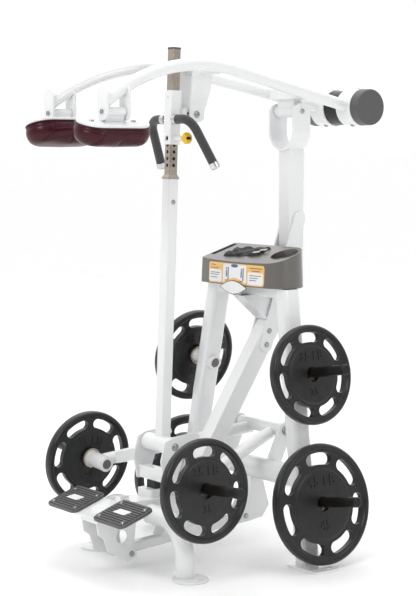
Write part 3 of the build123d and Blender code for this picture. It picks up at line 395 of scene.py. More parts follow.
# the round corners over the bracket's plate: centre, rear or front, and reach
CONSOLE_CORNERS = (((148 * MM, 196 * MM), 1, 86 * MM), ((170 * MM, 182 * MM), -1, 64 * MM))
BRACKET_PLATE_FROM = 1010 * MM


def yoke_flattened(point):
    """Brings the yoke's round tops down to a flatter curve, clear of the pin."""
    pivot = Vector(joints["yoke_turn"]["pos_m"])
    away = Vector((point.y - pivot.y, point.z - pivot.z))
    if point.z > pivot.z and away.length > YOKE_BORE:
        point.z = pivot.z + (point.z - pivot.z) * YOKE_TOP / YOKE_RISE
    return point


def bracket_tucked(point):
    """Draws the console bracket's right-hand corners in under the console's round end."""
    for (x, y), side, reach in CONSOLE_CORNERS:
        away = Vector((point.x - x, point.y - y))
        if point.z > BRACKET_PLATE_FROM and away.x > 0 and away.y * side > 0 and away.length > reach:
            away *= reach / away.length
            point.x, point.y = x + away.x, y + away.y
    return point


def yoke_bolt():
    """The yoke's pivot: a pin with small dome heads on white washers."""
    centre = middle("yoke_pin")
    core = lathe(
        "yoke_pin_core",
        [(0, -YOKE_FACE), (YOKE_PIN_R, -YOKE_FACE), (YOKE_PIN_R, YOKE_FACE), (0, YOKE_FACE)],
        basis(centre, (1, 0, 0)), FINISHES["zinc_fastener"], 48)
    attach(core, "axle")
    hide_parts("yoke_pin")
    for side_name, side in SIDES.items():
        place = basis(centre + Vector((side * YOKE_FACE, 0, 0)), (side, 0, 0))
        washer = lathe(f"yoke_washer_{side_name}", YOKE_WASHER, place @ Matrix.Scale(MM, 4),
                       FINISHES["white_frame"], 48)
        attach(washer, "axle")
        dome_head(f"yoke_head_{side_name}", place @ Matrix.Translation((0, 0, WASHER_THICK * MM)), "axle")


# -------------------- shoulder arms
# the driving dimensions of the CAD's arms
ARM_RADIUS, ARM_BEND = 23 * MM, 780 * MM
ARM_TOE, ARM_SLOPE = math.radians(4.55), math.radians(11.45)
ARM_REAR_X, ARM_REAR_Y, ARM_TANGENT_Y, ARM_TANGENT_Z = 82 * MM, 617 * MM, -10 * MM, 1833 * MM
ARM_FRONT_Y, ARM_EAR_Y = -614 * MM, -617 * MM
STRAIGHT_STEPS, BEND_STEPS = 12, 72
# the clamps of the counterweight
CLAMP_BOLTS = (math.radians(100), math.radians(-75))
CLAMP_X, CLAMP_TOP = 79 * MM, 72.5 * MM


def arm_line():
    """The right arm's centre line: straight from the counterweight, then one long bend to the pad."""
    tangent = (ARM_REAR_Y - ARM_TANGENT_Y) / math.cos(ARM_TOE)
    fall = (ARM_REAR_Y - ARM_TANGENT_Y) * math.tan(ARM_SLOPE)
    front = (ARM_REAR_Y - ARM_FRONT_Y) / math.cos(ARM_TOE)
    turn = ARM_SLOPE + math.asin((front - tangent - ARM_BEND * math.sin(ARM_SLOPE)) / ARM_BEND)
    path = [(tangent * step / STRAIGHT_STEPS, ARM_TANGENT_Z - fall * (1 - step / STRAIGHT_STEPS))
            for step in range(STRAIGHT_STEPS)]
    for step in range(BEND_STEPS + 1):
        heading = ARM_SLOPE - turn * step / BEND_STEPS
        path.append((tangent + ARM_BEND * (math.sin(ARM_SLOPE) - math.sin(heading)),
                     ARM_TANGENT_Z + ARM_BEND * (math.cos(heading) - math.cos(ARM_SLOPE))))
    return [Vector((ARM_REAR_X + along * math.sin(ARM_TOE), ARM_REAR_Y - along * math.cos(ARM_TOE), z))
            for along, z in path]


def shoulder_arms():
    """Both arms as smooth bent tubes, flush with the front ears."""
    for side_name, side in SIDES.items():
        line = [Vector((side * point.x, point.y, point.z)) for point in arm_line()]
        pipe = tube(f"arm_tube_{side_name}", line, ARM_RADIUS, FINISHES["white_frame"], 56)
        for vertex in pipe.data.vertices:
            vertex.co.y = max(vertex.co.y, ARM_EAR_Y)
        attach(pipe, "arms")
        if side > 0:
            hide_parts("arm_tubes")


def clamp_bolts():
    """Dome bolts over and under each of the counterweight's clamps."""
    weight = middle("counterweight_cylinder")
    low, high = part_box("counterweight_collars")
    reach = min((high.z - low.z) / 2, CLAMP_TOP)
    for side_name, side in SIDES.items():
        for number, turn in enumerate(CLAMP_BOLTS):
            outward = Vector((0, -math.cos(turn), math.sin(turn)))
            spot = Vector((side * CLAMP_X, weight.y, weight.z)) + outward * reach
            place = basis(spot, outward, Vector((1, 0, 0)))
            dome_head(f"clamp_bolt_{side_name}_{number}", place, "arms")


# -------------------- weight plates
PLATE_SLOTS, SLOT_REACH = 7, math.radians(13)
PLATE_TURNS = {("lever", "left"): math.pi / PLATE_SLOTS}
PLATE_FACE, PLATE_WEB, PLATE_DISC = 21.0 * MM, 11.0 * MM, 14.0 * MM
PLATE_BORE = 26.5 * MM
PLATE_MARKS = {"upper": "35", "lower": "45", "lever": "35"}
# each row of characters: its name, what follows the number, and its place and height
MARK_ROWS = (("number", "", -0.35, 0.21), ("unit", " LB", 0.37, 0.24))
MARK_DEPTH, MARK_SINK = 2.2 * MM, 0.3 * MM
# the slots' middle line and half width, and the rows' numbers above, are shares of the plate's radius
SLOT_LINE, SLOT_HALF, SLOT_STEPS = 0.75, 0.1, 10


def slot_outline(radius, angle):
    """One finger slot: an arc with round ends, as points in the plate's plane."""
    line, half, steps = SLOT_LINE * radius, SLOT_HALF * radius, SLOT_STEPS
    outline = []
    for step in range(steps + 1):
        turn = angle - SLOT_REACH + 2 * SLOT_REACH * step / steps
        outline.append(Vector((math.cos(turn), math.sin(turn))) * (line + half))
    for end, outward in ((SLOT_REACH, 1), (-SLOT_REACH, -1)):
        at = angle + end
        centre = Vector((math.cos(at), math.sin(at))) * line
        for step in range(1, steps):
            turn = at + math.pi * step / steps + (0 if outward > 0 else math.pi)
            outline.append(centre + Vector((math.cos(turn), math.sin(turn))) * half)
        if outward > 0:
            for step in range(steps + 1):
                turn = angle + SLOT_REACH - 2 * SLOT_REACH * step / steps
                outline.append(Vector((math.cos(turn), math.sin(turn))) * (line - half))
    return outline


def lettering(name, words, height, place, material):
    """Raised characters standing on a plane, centred on its origin."""
    curve = bpy.data.curves.new(name, "FONT")
    curve.body = words
    curve.size = height
    curve.align_x = "CENTER"
    curve.align_y = "CENTER"
    curve.extrude = MARK_DEPTH
    curve.offset = 0.5 * MM
    curve.bevel_depth = 0.6 * MM
    curve.space_character = 1.08
    holder = bpy.data.objects.new(name + "_curve", curve)
    bpy.context.scene.collection.objects.link(holder)
    graph = bpy.context.evaluated_depsgraph_get()
    mesh = bpy.data.meshes.new_from_object(holder.evaluated_get(graph))
    mesh.transform(place)
    bpy.data.objects.remove(holder)
    return add_piece(name, mesh, material)


def weight_plate(station, side_name):
    """A cast plate with a raised rim, seven soft-edged finger slots and raised numbers."""
    node = f"{station}_plate_{side_name}"
    body = body_of_node[node]
    axis = Vector(joints[f"{station}_plate_slide_{side_name}"]["axis"])
    low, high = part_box(node)
    radius = (high.y - low.y) / 2
    place = basis(middle(node), axis)
    face, web, disc = PLATE_FACE, PLATE_WEB, PLATE_DISC
    half = [  # the outer half of the section, from the bore to the rim
        (PLATE_BORE, disc - 2 * MM), (PLATE_BORE + 2 * MM, disc), (0.565 * radius, disc),
        (0.585 * radius, web), (0.875 * radius, web), (0.900 * radius, face - 1 * MM),
        (0.915 * radius, face), (0.955 * radius, face), (0.992 * radius, face - 7 * MM),
        (radius, 0.0)]
    top = rounded([Vector((r, h)) for r, h in half], 4 * MM, 4)
    profile = [(r, h) for r, h in top] + [(r, -h) for r, h in reversed(top[:-1])]
    plate = lathe(f"plate_{station}_{side_name}", profile + profile[:1], place,
                  FINISHES["black_iron"], PLATE_SLOTS * 24, 50)
    cutters = []
    first_slot = math.pi / 2 + PLATE_TURNS.get((station, side_name), 0)
    for slot_number in range(PLATE_SLOTS):
        angle = first_slot + 2 * math.pi * slot_number / PLATE_SLOTS
        below = place @ Matrix.Translation((0, 0, -2 * face))
        cutters.append(slab("slot_cutter", slot_outline(radius, angle), 4 * face, below,
                            FINISHES["black_iron"]))
    weld(plate)
    for cutter in cutters:
        opening = plate.modifiers.new("opening", "BOOLEAN")
        opening.operation = "DIFFERENCE"
        opening.solver = "EXACT"
        opening.object = cutter
    applied(plate)
    for cutter in cutters:
        bpy.data.objects.remove(cutter)
    plate.data.shade_smooth()
    plate.data.set_sharp_from_angle(angle=math.radians(50))
    bevel(plate, 2.4 * MM, 3, 60)
    attach(plate, body)
    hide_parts(node)
    for face_name, sign in (("outer", 1), ("inner", -1)):
        facing = basis(middle(node), axis * sign)
        for row_name, unit, rise, tall in MARK_ROWS:
            stand = facing @ Matrix.Translation((0, rise * radius, disc - MARK_SINK))
            mark = lettering(f"mark_{station}_{side_name}_{face_name}_{row_name}",
                             PLATE_MARKS[station] + unit, tall * radius, stand, FINISHES["black_iron"])
            attach(mark, body)


# -------------------- shoulder cushions
# the cushion's side as (inset, height) in millimetres, from under its middle round to its top
CUSHION_PROFILE = [
    (66, 1), (48, 0.5), (34, 2), (22, 7), (13, 15), (6, 27), (2.5, 42), (3, 57), (5, 66), (8, 72),
    (12, 74.5), (66, 74.5)]
# half the width, and how far the top and the base lie under the roll pivot
CUSHION_HALF, CUSHION_TOP, CUSHION_BASE = 75 * MM, 42 * MM, 117 * MM
PAD_ROLL = math.radians(15)
PAD_PLATE_TOP, PAD_BOLTS = 33 * MM, (-661 * MM, -486 * MM)
# the cloth simulation
STUFF_VOXEL, STUFF_HELD, STUFF_PRESSURE, STUFF_FRAMES, STUFF_LIMIT = 5 * MM, 4 * MM, 4.0, 20, 7 * MM
# the seams: a band round the cushion and a curve down each side of its front
SEAM_DEPTH, SEAM_REACH, SEAM_BEAD, SEAM_LIFT = 2.2 * MM, 3.2 * MM, 0.9 * MM, 0.3 * MM
BAND_DROP, BAND_OUT, FRONT_FALL, FRONT_PULL = 15 * MM, 2 * MM, 72 * MM, 46 * MM
FRONT_OUT, FRONT_TURN, FRONT_POWER, FRONT_STEPS = 4 * MM, 0.9, 1.6, 28
PIPING_INSET, PIPING_DROP, PIPING_R = 6 * MM, 3.2 * MM, 3.0 * MM


def stadium(inset, low, high, height, steps=28):
    """A stadium outline inside the box from low to high, drawn in by an inset."""
    half = (high.x - low.x) / 2
    centre_x = (low.x + high.x) / 2
    outline = []
    for centre_y, start in ((low.y + half, math.pi), (high.y - half, 0.0)):
        for step in range(steps + 1):
            turn = start + math.pi * step / steps
            outline.append(Vector((centre_x + (half - inset) * math.cos(turn),
                                   centre_y + (half - inset) * math.sin(turn), height)))
    return outline


def cushion_form(name, low, high, material):
    """The cushion before it is stuffed: rings from under its middle, round the side to its top."""
    points, faces = [], []
    for inset, height in CUSHION_PROFILE:
        points += stadium(inset * MM, low, high, low.z + height * MM)
    count = len(points) // len(CUSHION_PROFILE)
    for row in range(len(CUSHION_PROFILE) - 1):
        for step in range(count):
            following = (step + 1) % count
            faces.append((row * count + step, row * count + following,
                          (row + 1) * count + following, (row + 1) * count + step))
    faces.append(tuple(range(count)))
    faces.append(tuple(range(len(points) - count, len(points))))
    return add_mesh(name, points, faces, material, 180)


def stuffed(piece, top):
    """The piece after its cover is blown up a little by cloth simulation; its top stays flat."""
    voxels(piece, STUFF_VOXEL)
    applied(piece)
    rest = [vertex.co.copy() for vertex in piece.data.vertices]
    held = piece.vertex_groups.new(name="held")
    held.add([i for i, point in enumerate(rest) if point.z > top - STUFF_HELD], 1.0, "REPLACE")
    cloth = piece.modifiers.new("cloth", "CLOTH")
    cloth.settings.vertex_group_mass = "held"
    cloth.settings.use_pressure = True
    cloth.settings.uniform_pressure_force = STUFF_PRESSURE
    cloth.settings.effector_weights.gravity = 0.0
    cloth.settings.quality = 6
    for frame_number in range(1, STUFF_FRAMES + 1):
        bpy.context.scene.frame_set(frame_number)
        bpy.context.view_layer.update()
    applied(piece)
    bpy.context.scene.frame_set(1)
    for vertex, start in zip(piece.data.vertices, rest):
        moved = vertex.co - start
        if moved.length > STUFF_LIMIT:
            vertex.co = start + moved * (STUFF_LIMIT / moved.length)
    return piece


def sewn(piece, lines):
    """Draws the cover in along its seams."""
    samples = [point for line in lines for point in line]
    tree = kdtree.KDTree(len(samples))
    for index, point in enumerate(samples):
        tree.insert(point, index)
    tree.balance()
    mesh = piece.data
    normals = [vertex.normal.copy() for vertex in mesh.vertices]
    for vertex, normal in zip(mesh.vertices, normals):
        distance = tree.find(vertex.co)[2]
        if distance < 4 * SEAM_REACH:
            vertex.co -= normal * SEAM_DEPTH * math.exp(-(distance / SEAM_REACH) ** 2)


def on_surface(tree, line, lift=0.0):
    """A line of points moved onto a surface."""
    found = []
    for point in line:
        spot, normal = tree.find_nearest(point)[:2]
        found.append(spot + normal * lift)
    return found


def skin_of(piece):
    """A piece's present surface, for finding points on it."""
    return BVHTree.FromObject(piece, bpy.context.evaluated_depsgraph_get())


def seam_lines(skin, low, high):
    """The cushion's seams on its surface: the band first, then the curves on its front."""
    half = (high.x - low.x) / 2
    centre_x = (low.x + high.x) / 2
    band_height = high.z - BAND_DROP
    seams = [on_surface(skin, stadium(-BAND_OUT, low, high, band_height, 60))]
    for side in (-1, 1):
        drop = [
            Vector((centre_x + side * (half + FRONT_OUT) * math.cos(t * FRONT_TURN),
                    low.y + half - FRONT_PULL * t ** FRONT_POWER, band_height - FRONT_FALL * t))
            for t in [step / FRONT_STEPS for step in range(FRONT_STEPS + 1)]]
        seams.append(on_surface(skin, drop))
    return seams


def shoulder_cushions():
    """Both cushions: the right one is simulated, and the left one is its mirror image."""
    pivot = Vector(joints["pad_roll_right"]["pos_m"])
    low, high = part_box("shoulder_pad_right")
    low = Vector((pivot.x - CUSHION_HALF, low.y, pivot.z - CUSHION_BASE))
    high = Vector((pivot.x + CUSHION_HALF, high.y, pivot.z - CUSHION_TOP))
    leather = FINISHES["burgundy_leather"]
    piece = stuffed(cushion_form("cushion_right", low, high, leather), high.z)
    finer = piece.modifiers.new("finer", "SUBSURF")
    finer.levels = 1
    finer.render_levels = 1
    applied(piece)
    for vertex in piece.data.vertices:
        vertex.co.z = min(vertex.co.z, high.z - 0.4 * MM)
    seams = seam_lines(skin_of(piece), low, high)
    sewn(piece, seams)
    skin = skin_of(piece)
    made = [piece]
    for number, line in enumerate(seams):
        bead = on_surface(skin, line, SEAM_LIFT)
        made.append(tube(f"cushion_seam_right_{number}", bead, SEAM_BEAD, leather, 8, number == 0))
    rim = stadium(PIPING_INSET, low, high, high.z - PIPING_DROP, 40)
    made.append(tube("cushion_piping_right", rim, PIPING_R, leather, 12, True))
    roll = Matrix.Translation(pivot) @ Matrix.Rotation(PAD_ROLL, 4, "Y") @ Matrix.Translation(-pivot)
    for part in list(made):
        part.data.transform(roll)
        mesh = part.data.copy()
        mesh.transform(Matrix.Scale(-1, 4, (1, 0, 0)))
        mesh.flip_normals()
        made.append(add_piece(part.name.replace("right", "left"), mesh, leather, 180))
    for part in made:
        part.data.shade_smooth()
        side_name = "left" if "left" in part.name else "right"
        attach(part, f"pad_{side_name}")
        if part.name.startswith("cushion_" + side_name):
            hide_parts(f"shoulder_pad_{side_name}")


def pad_bolts():
    """Dome-headed bolts on each pad's plate."""
    for side_name, side in SIDES.items():
        pivot = Vector(joints[f"pad_roll_{side_name}"]["pos_m"])
        turned = Matrix.Translation(pivot) @ Matrix.Rotation(side * PAD_ROLL, 4, "Y")
        for number, y in enumerate(PAD_BOLTS):
            spot = turned @ Matrix.Translation((0, y - pivot.y, -PAD_PLATE_TOP))
            dome_head(f"pad_bolt_{side_name}_{number}", spot, f"pad_{side_name}")


# -------------------- handles and pull knob
def foam_grips():
    """Foam sleeves on the handles: slightly full, with soft ends."""
    mesh = frame["nodes"]["handle_grips"].data.copy()
    grips = add_piece("foam_grips", mesh, FINISHES["grip_foam"])
    weld(grips)
    voxels(grips, 1.6 * MM)
    relax = grips.modifiers.new("relax", "SMOOTH")
    relax.factor = 0.6
    relax.iterations = 6
    applied(grips)
    grips.data.shade_smooth()
    attach(grips, "sleeve")
    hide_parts("handle_grips")


KNOB_LONG, KNOB_RIBS, KNOB_RIB_DEPTH = 23 * MM, 12, 0.035
PLUNGER_R, PLUNGER_TIP_R, PLUNGER_TIP = 5 * MM, 3.5 * MM, 1.5 * MM
# the knob's outline: a share of its radius, and a distance from its inner end
KNOB_SHAPE = ((0, 0), (0.55, 0), (0.62, 3 * MM), (0.97, 7 * MM), (1, 12 * MM), (0.95, 18 * MM),
              (0.72, KNOB_LONG - 1.5 * MM), (0.5, KNOB_LONG), (0, KNOB_LONG))
KNOB_INLAY = (10 * MM, 5 * MM)


def pull_knob():
    """The pull pin: a steel plunger and a fat ribbed knob with a dark plain inlay."""
    low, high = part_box("pull_pin")
    centre = middle("pull_pin")
    place = basis((low.x, centre.y, centre.z), (1, 0, 0))
    length = high.x - low.x
    radius = (high.z - low.z) / 2
    start = length - KNOB_LONG
    rod = lathe(
        "pull_plunger",
        [(0, 0), (PLUNGER_TIP_R, 0), (PLUNGER_R, PLUNGER_TIP), (PLUNGER_R, start + 2 * MM),
         (0, start + 5 * MM)],
        place, FINISHES["zinc_fastener"], 32)
    attach(rod, "pull")
    shape = [Vector((share * radius, start + along)) for share, along in KNOB_SHAPE]
    knob = lathe("pull_knob", [(p[0], p[1]) for p in rounded(shape, 4 * MM, 5)], place,
                 FINISHES["yellow_knob"], 96)
    axis_point = Vector((0, centre.y, centre.z))
    for vertex in knob.data.vertices:
        off = vertex.co - axis_point
        off.x = 0
        if off.length > 0.8 * radius:
            turn = math.atan2(off.z, off.y)
            vertex.co -= off * KNOB_RIB_DEPTH * (0.5 + 0.5 * math.cos(KNOB_RIBS * turn))
    attach(knob, "pull")
    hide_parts("pull_pin")
    face = basis((high.x - 0.4 * MM, centre.y, centre.z), (1, 0, 0))
    inlay = slab("pull_knob_inlay", rectangle(*KNOB_INLAY, 1.5 * MM, 3), 0.9 * MM, face, BLACK_INK)
    attach(inlay, "pull")


# -------------------- foot pads
FOOT_TILT, FOOT_SINK = math.radians(19), 7 * MM
FOOT_WIDE, FOOT_DEEP, FOOT_THICK, FOOT_CORNER = 98 * MM, 76 * MM, 11 * MM, 30 * MM
RIBS, RIB_MARGIN, RIB_INSET, RIB_DRAWN_IN = 11, 6 * MM, 8 * MM, 15 * MM
RIB_HEIGHT, RIB_SHARE = 4.4 * MM, 0.29
INLAY_LONG, INLAY_SHORT, INLAY_DEEP, INLAY_THICK = 42 * MM, 28 * MM, 15 * MM, 4.6 * MM
SCREW_X, SCREW_Y = 74.5 * MM, 51 * MM
# a screw's dome head with its drive recess, as (radius, height) in millimetres
SCREW_HEAD = [
    (0, 5.2), (3.2, 5.2), (3.4, 4.6), (5.5, 4.6), (7.4, 3.2), (8.6, 1.2), (8.8, 0), (0, 0)]


def foot_pad(side_name):
    """A moulded foot pad: rounded slab, cross ribs, four screws and a plain white inlay."""
    side = SIDES[side_name]
    low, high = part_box("foot_pads")
    centre = Vector((side * (high.x - FOOT_WIDE), (low.y + high.y) / 2, (low.z + high.z) / 2))
    normal = Vector((0, -math.sin(FOOT_TILT), math.cos(FOOT_TILT)))
    place = placement(centre - normal * FOOT_SINK, Vector((1, 0, 0)), normal)
    base = slab(f"foot_pad_{side_name}", rectangle(FOOT_WIDE, FOOT_DEEP, FOOT_CORNER, 8), FOOT_THICK,
                place, FOOT_RUBBER)
    bevel(base, 2.5 * MM, 3, 50)
    attach(base, "root")
    foot_ribs(side_name, place)
    slant = [(-INLAY_LONG, -INLAY_DEEP), (INLAY_SHORT, -INLAY_DEEP), (INLAY_LONG, INLAY_DEEP),
             (-INLAY_SHORT, INLAY_DEEP)]
    patch = slab(f"foot_inlay_{side_name}", rounded(slant, 4 * MM, 3, True), INLAY_THICK,
                 place @ Matrix.Translation((0, 0, FOOT_THICK)), WHITE_FILM)
    bevel(patch, 0.5 * MM, 2, 50)
    attach(patch, "root")
    if side > 0:
        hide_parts("foot_pads")
    for x in (-SCREW_X, SCREW_X):
        for y in (-SCREW_Y, SCREW_Y):
            spot = place @ Matrix.Translation((x, y, FOOT_THICK - 0.5 * MM))
            screw = lathe(f"foot_screw_{side_name}_{int(x > 0)}{int(y > 0)}",
                          [(r * MM, h * MM) for r, h in SCREW_HEAD], spot, FINISHES["zinc_fastener"], 32)
            attach(screw, "root")


def foot_ribs(side_name, place):
    """The cross ribs on a foot pad, shorter near its rounded corners."""
    pitch = 2 * (FOOT_DEEP - RIB_MARGIN) / RIBS
    half = RIB_SHARE * pitch
    stand = place @ Matrix.Translation((0, 0, FOOT_THICK - 0.4 * MM))
    for number in range(RIBS):
        y = -FOOT_DEEP + RIB_MARGIN + pitch * (number + 0.5)
        over = max(abs(y) - (FOOT_DEEP - FOOT_CORNER), 0) / FOOT_CORNER
        reach = FOOT_WIDE - RIB_INSET - RIB_DRAWN_IN * over ** 2
        rib = slab(f"foot_rib_{side_name}_{number}", rectangle(reach, half, half, 4), RIB_HEIGHT,
                   stand @ Matrix.Translation((0, y, 0)), FOOT_RUBBER)
        bevel(rib, 1.1 * MM, 2, 50)
        attach(rib, "root")


# -------------------- console
FILM_LAYER, FILM_THICK = 0.45 * MM, 0.3 * MM


def film(name, x0, x1, low_line, high_line, layer, material, columns=48, rows=8):
    """A thin printed patch that follows the console's bowed front."""
    low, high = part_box("console_placard")
    front = surface("console_housing")
    points, faces = [], []
    for column in range(columns + 1):
        x = x0 + (x1 - x0) * column / columns
        bottom, top = low_line(x), high_line(x)
        for row in range(rows + 1):
            z = bottom + (top - bottom) * row / rows
            points.append(Vector((x, 0, z)))
    for point in points:
        hit = front.ray_cast(Vector((point.x, low.y - 0.1, point.z)), Vector((0, 1, 0)))[0]
        point.y = (hit.y if hit else high.y) - FILM_LAYER * layer
    for column in range(columns):
        for row in range(rows):
            a = column * (rows + 1) + row
            faces.append((a, a + rows + 1, a + rows + 2, a + 1))
    piece = add_mesh(name, points, faces, material)
    thick = piece.modifiers.new("thick", "SOLIDIFY")
    thick.thickness = FILM_THICK
    attach(piece, "root")
    return piece


def soft_box(x0, x1, z0, z1, radius):
    """The lower and upper edges of a rounded rectangle, as functions of X."""
    def drawn_in(x):
        near = min(x - x0, x1 - x)
        if near >= radius:
            return 0.0
        return radius - math.sqrt(max(radius ** 2 - (radius - near) ** 2, 0.0))

    return (lambda x: z0 + drawn_in(x)), (lambda x: z1 - drawn_in(x))


def patch(name, x0, x1, z0, z1, corner, layer, material, columns=48, rows=8):
    """A rounded rectangle of film, given in millimetres."""
    x0, x1 = x0 * MM, x1 * MM
    edges = soft_box(x0, x1, z0 * MM, z1 * MM, corner * MM)
    film(name, x0, x1, *edges, layer, material, columns, rows)


# the placard's parts in millimetres: X from and to, then Z
PLACARD_HALF, PLACARD_LOW = 172, 1024
PANELS = {"left": (-166, -80, 1028, 1076), "centre": (-73, 73, 1028, 1100), "right": (80, 166, 1028, 1076)}
TEXT_LINES = [
    (-158, -92, 1064, GREY_INK), (-158, -100, 1056, GREY_INK), (-158, -108, 1045, GREY_INK),
    (-160, -120, 1094, GREY_INK), (-160, -104, 1082, BLUE_INK),
    (90, 158, 1064, GREY_INK), (90, 140, 1055, GREY_INK), (90, 130, 1046, BLUE_INK),
    (88, 162, 1092, GREY_INK), (100, 150, 1082, GREY_INK)]
LINE_HALF = 1.3
# a simple figure: each part's shift, half width and heights
FIGURES = {"left": -46, "right": 46}
FIGURE_PARTS = (
    ("post", 8, 2.6, 1040, 1090, BLUE_INK), ("body", -3, 3.2, 1052, 1078, GREY_INK),
    ("head", -3, 3.0, 1080, 1087, GREY_INK), ("base", -4, 9, 1036, 1040, GREY_INK))
OVAL_X, OVAL_Z, OVAL_HEIGHT = 22 * MM, 6.5 * MM, 1096 * MM
ARCH_X, ARCH_HALF, ARCH_FROM, ARCH_RISE = 72 * MM, 92 * MM, 1012, 38


def placard():
    """The instruction film: an orange field, three white panels, plain line blocks and a blank badge."""
    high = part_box("console_placard")[1]
    orange, half, bottom = FINISHES["placard"], PLACARD_HALF * MM, PLACARD_LOW * MM
    field = film("placard_field", -half, half, *soft_box(-half, half, bottom, high.z, 10 * MM), 1.5,
                 orange, 80)
    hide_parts("console_placard")
    for name, extent in PANELS.items():
        patch(f"placard_panel_{name}", *extent, 8, 3, WHITE_FILM)
    for number, (x0, x1, z, ink) in enumerate(TEXT_LINES):
        patch(f"placard_line_{number}", x0, x1, z - LINE_HALF, z + LINE_HALF, 1, 4.5, ink, 16, 1)
    for name, x in FIGURES.items():
        for part, shift, wide, z0, z1, ink in FIGURE_PARTS:
            patch(f"placard_figure_{name}_{part}", x + shift - wide, x + shift + wide, z0, z1, 2, 4.5, ink,
                  10, 4)

    def oval(x, sign):
        return OVAL_HEIGHT + sign * OVAL_Z * math.sqrt(max(1 - (x / OVAL_X) ** 2, 0.0))

    def arch(x):
        return max((ARCH_FROM + ARCH_RISE * math.cos(math.pi * x / (2 * ARCH_HALF))) * MM, bottom + MM)

    film("placard_arch", -ARCH_X, ARCH_X, lambda x: bottom, arch, 4, orange, 40, 4)
    film("placard_oval", -OVAL_X, OVAL_X, lambda x: oval(x, -1), lambda x: oval(x, 1), 4.5,
         BLUE_INK, 24, 4)


BADGE_MIDDLE, BADGE_STEPS = 1013 * MM, 24


def eye_badge(name, half, half_high, y, material):
    """An eye-shaped plate hanging under the placard."""
    outline = []
    for step in range(2 * BADGE_STEPS):
        sign, t = (1 if step < BADGE_STEPS else -1), step % BADGE_STEPS / BADGE_STEPS
        outline.append((sign * half * (2 * t - 1),
                        BADGE_MIDDLE + sign * half_high * math.sin(math.pi * t)))
    badge = slab(name, outline, 2 * MM, basis((0, y, 0), (0, -1, 0)), material)
    bevel(badge, 0.6 * MM, 2, 50)
    attach(badge, "root")


MAT_SLOPE, MAT_SINK = math.radians(17.2), 6 * MM
MAT_ALONG = Vector((1, 0.14, 0.05)).normalized()
MAT_HALF_X, MAT_HALF_Y, MAT_EDGE = 90 * MM, 43 * MM, 5 * MM
MAT_COLUMNS, MAT_ROWS = 90, 44
# each metal tag on the mat: its place in millimetres and its turn
TAGS = ((76, -26, 0.35), (92, 0, 0.2))
CUP_X, CUP_Y, CUP_RIM, CUP_STEPS = 166 * MM, 208 * MM, 53.5 * MM, 96


def mat_rise(u, v):
    """The mat's height in millimetres over its plane: winding ribs that fade at its edges."""
    wave = math.sin(7.5 * u + 0.9 * math.sin(3.0 * v))
    wave *= math.cos(4.2 * v + 1.3 * math.sin(2.2 * u))
    rise = 8.0 + 4.2 * math.tanh(2.4 * wave)
    edge = min(1 - abs(u), (1 - abs(v)) * MAT_HALF_Y / MAT_HALF_X) * MAT_HALF_X / MAT_EDGE
    return rise * min(1.0, max(edge, 0.0)) ** 0.5


def ribbed_mat():
    """The rubber mat on the console's slope, with two metal tags on it."""
    low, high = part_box("console_mat")
    normal = Vector((0, -math.sin(MAT_SLOPE), math.cos(MAT_SLOPE)))
    along = (MAT_ALONG - normal * MAT_ALONG.dot(normal)).normalized()
    place = placement((low + high) / 2 - normal * MAT_SINK, along, normal)
    points, faces = [], []
    for row in range(MAT_ROWS + 1):
        for column in range(MAT_COLUMNS + 1):
            u, v = -1 + 2 * column / MAT_COLUMNS, -1 + 2 * row / MAT_ROWS
            points.append(place @ Vector((u * MAT_HALF_X, v * MAT_HALF_Y, mat_rise(u, v) * MM)))
    for row in range(MAT_ROWS):
        for column in range(MAT_COLUMNS):
            a = row * (MAT_COLUMNS + 1) + column
            faces.append((a, a + 1, a + MAT_COLUMNS + 2, a + MAT_COLUMNS + 1))
    mat = add_mesh("console_mat_ribbed", points, faces, FINISHES["black_rubber"], 60)
    attach(mat, "root")
    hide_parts("console_mat")
    for number, (x, y, turn) in enumerate(TAGS):
        spot = place @ Matrix.Translation((x * MM, y * MM, 9 * MM)) @ Matrix.Rotation(turn, 4, "Z")
        tag = slab(f"mat_tag_{number}", rectangle(16 * MM, 9 * MM, 3 * MM, 4), 2.5 * MM, spot,
                   FINISHES["satin_nickel"])
        bevel(tag, 0.6 * MM, 2, 50)
        attach(tag, "root")


def cup_rim():
    """A raised bead round the cup's edge, in the console's plastic."""
    deck = surface("console_housing")
    rim = []
    for step in range(CUP_STEPS):
        turn = 2 * math.pi * step / CUP_STEPS
        x, y = CUP_X + CUP_RIM * math.cos(turn), CUP_Y + CUP_RIM * math.sin(turn)
        hit = deck.ray_cast(Vector((x, y, 2.0)), Vector((0, 0, -1)))[0]
        rim.append(Vector((x, y, hit.z if hit else rim[-1].z)))
    ring = tube("cup_rim", rim, 1.8 * MM, FINISHES["console_plastic"], 10, True)
    attach(ring, "root")


def console_details():
    """The placard, the blank badge, the ribbed mat with its tags and the cup's rim."""
    placard()
    badge_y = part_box("console_placard")[0].y - 0.5 * MM
    eye_badge("badge_edge", 86 * MM, 27 * MM, badge_y, GREY_INK)
    eye_badge("badge_face", 80 * MM, 24 * MM, badge_y - 1.2 * MM, WHITE_FILM)
    ribbed_mat()
    cup_rim()


# -------------------- end caps
# turned shapes as (radius, height) in millimetres
COLLAR = [(19, -1), (19, 1.5), (23, 2.5), (24.5, 2.5), (25.5, 1.2), (29.2, 0.6), (29.4, -1), (19, -1)]
PLUG = [(0, 2.4), (14, 2.2), (17.5, 1.4), (18.6, 0), (18.6, -4), (0, -4)]
# how far a plate hangs under its peg's axis, where a ray starts, and how far off the axis it runs
PLATE_DROP, RAY_START, RAY_OFFSET = 7.2 * MM, 0.6, 25 * MM


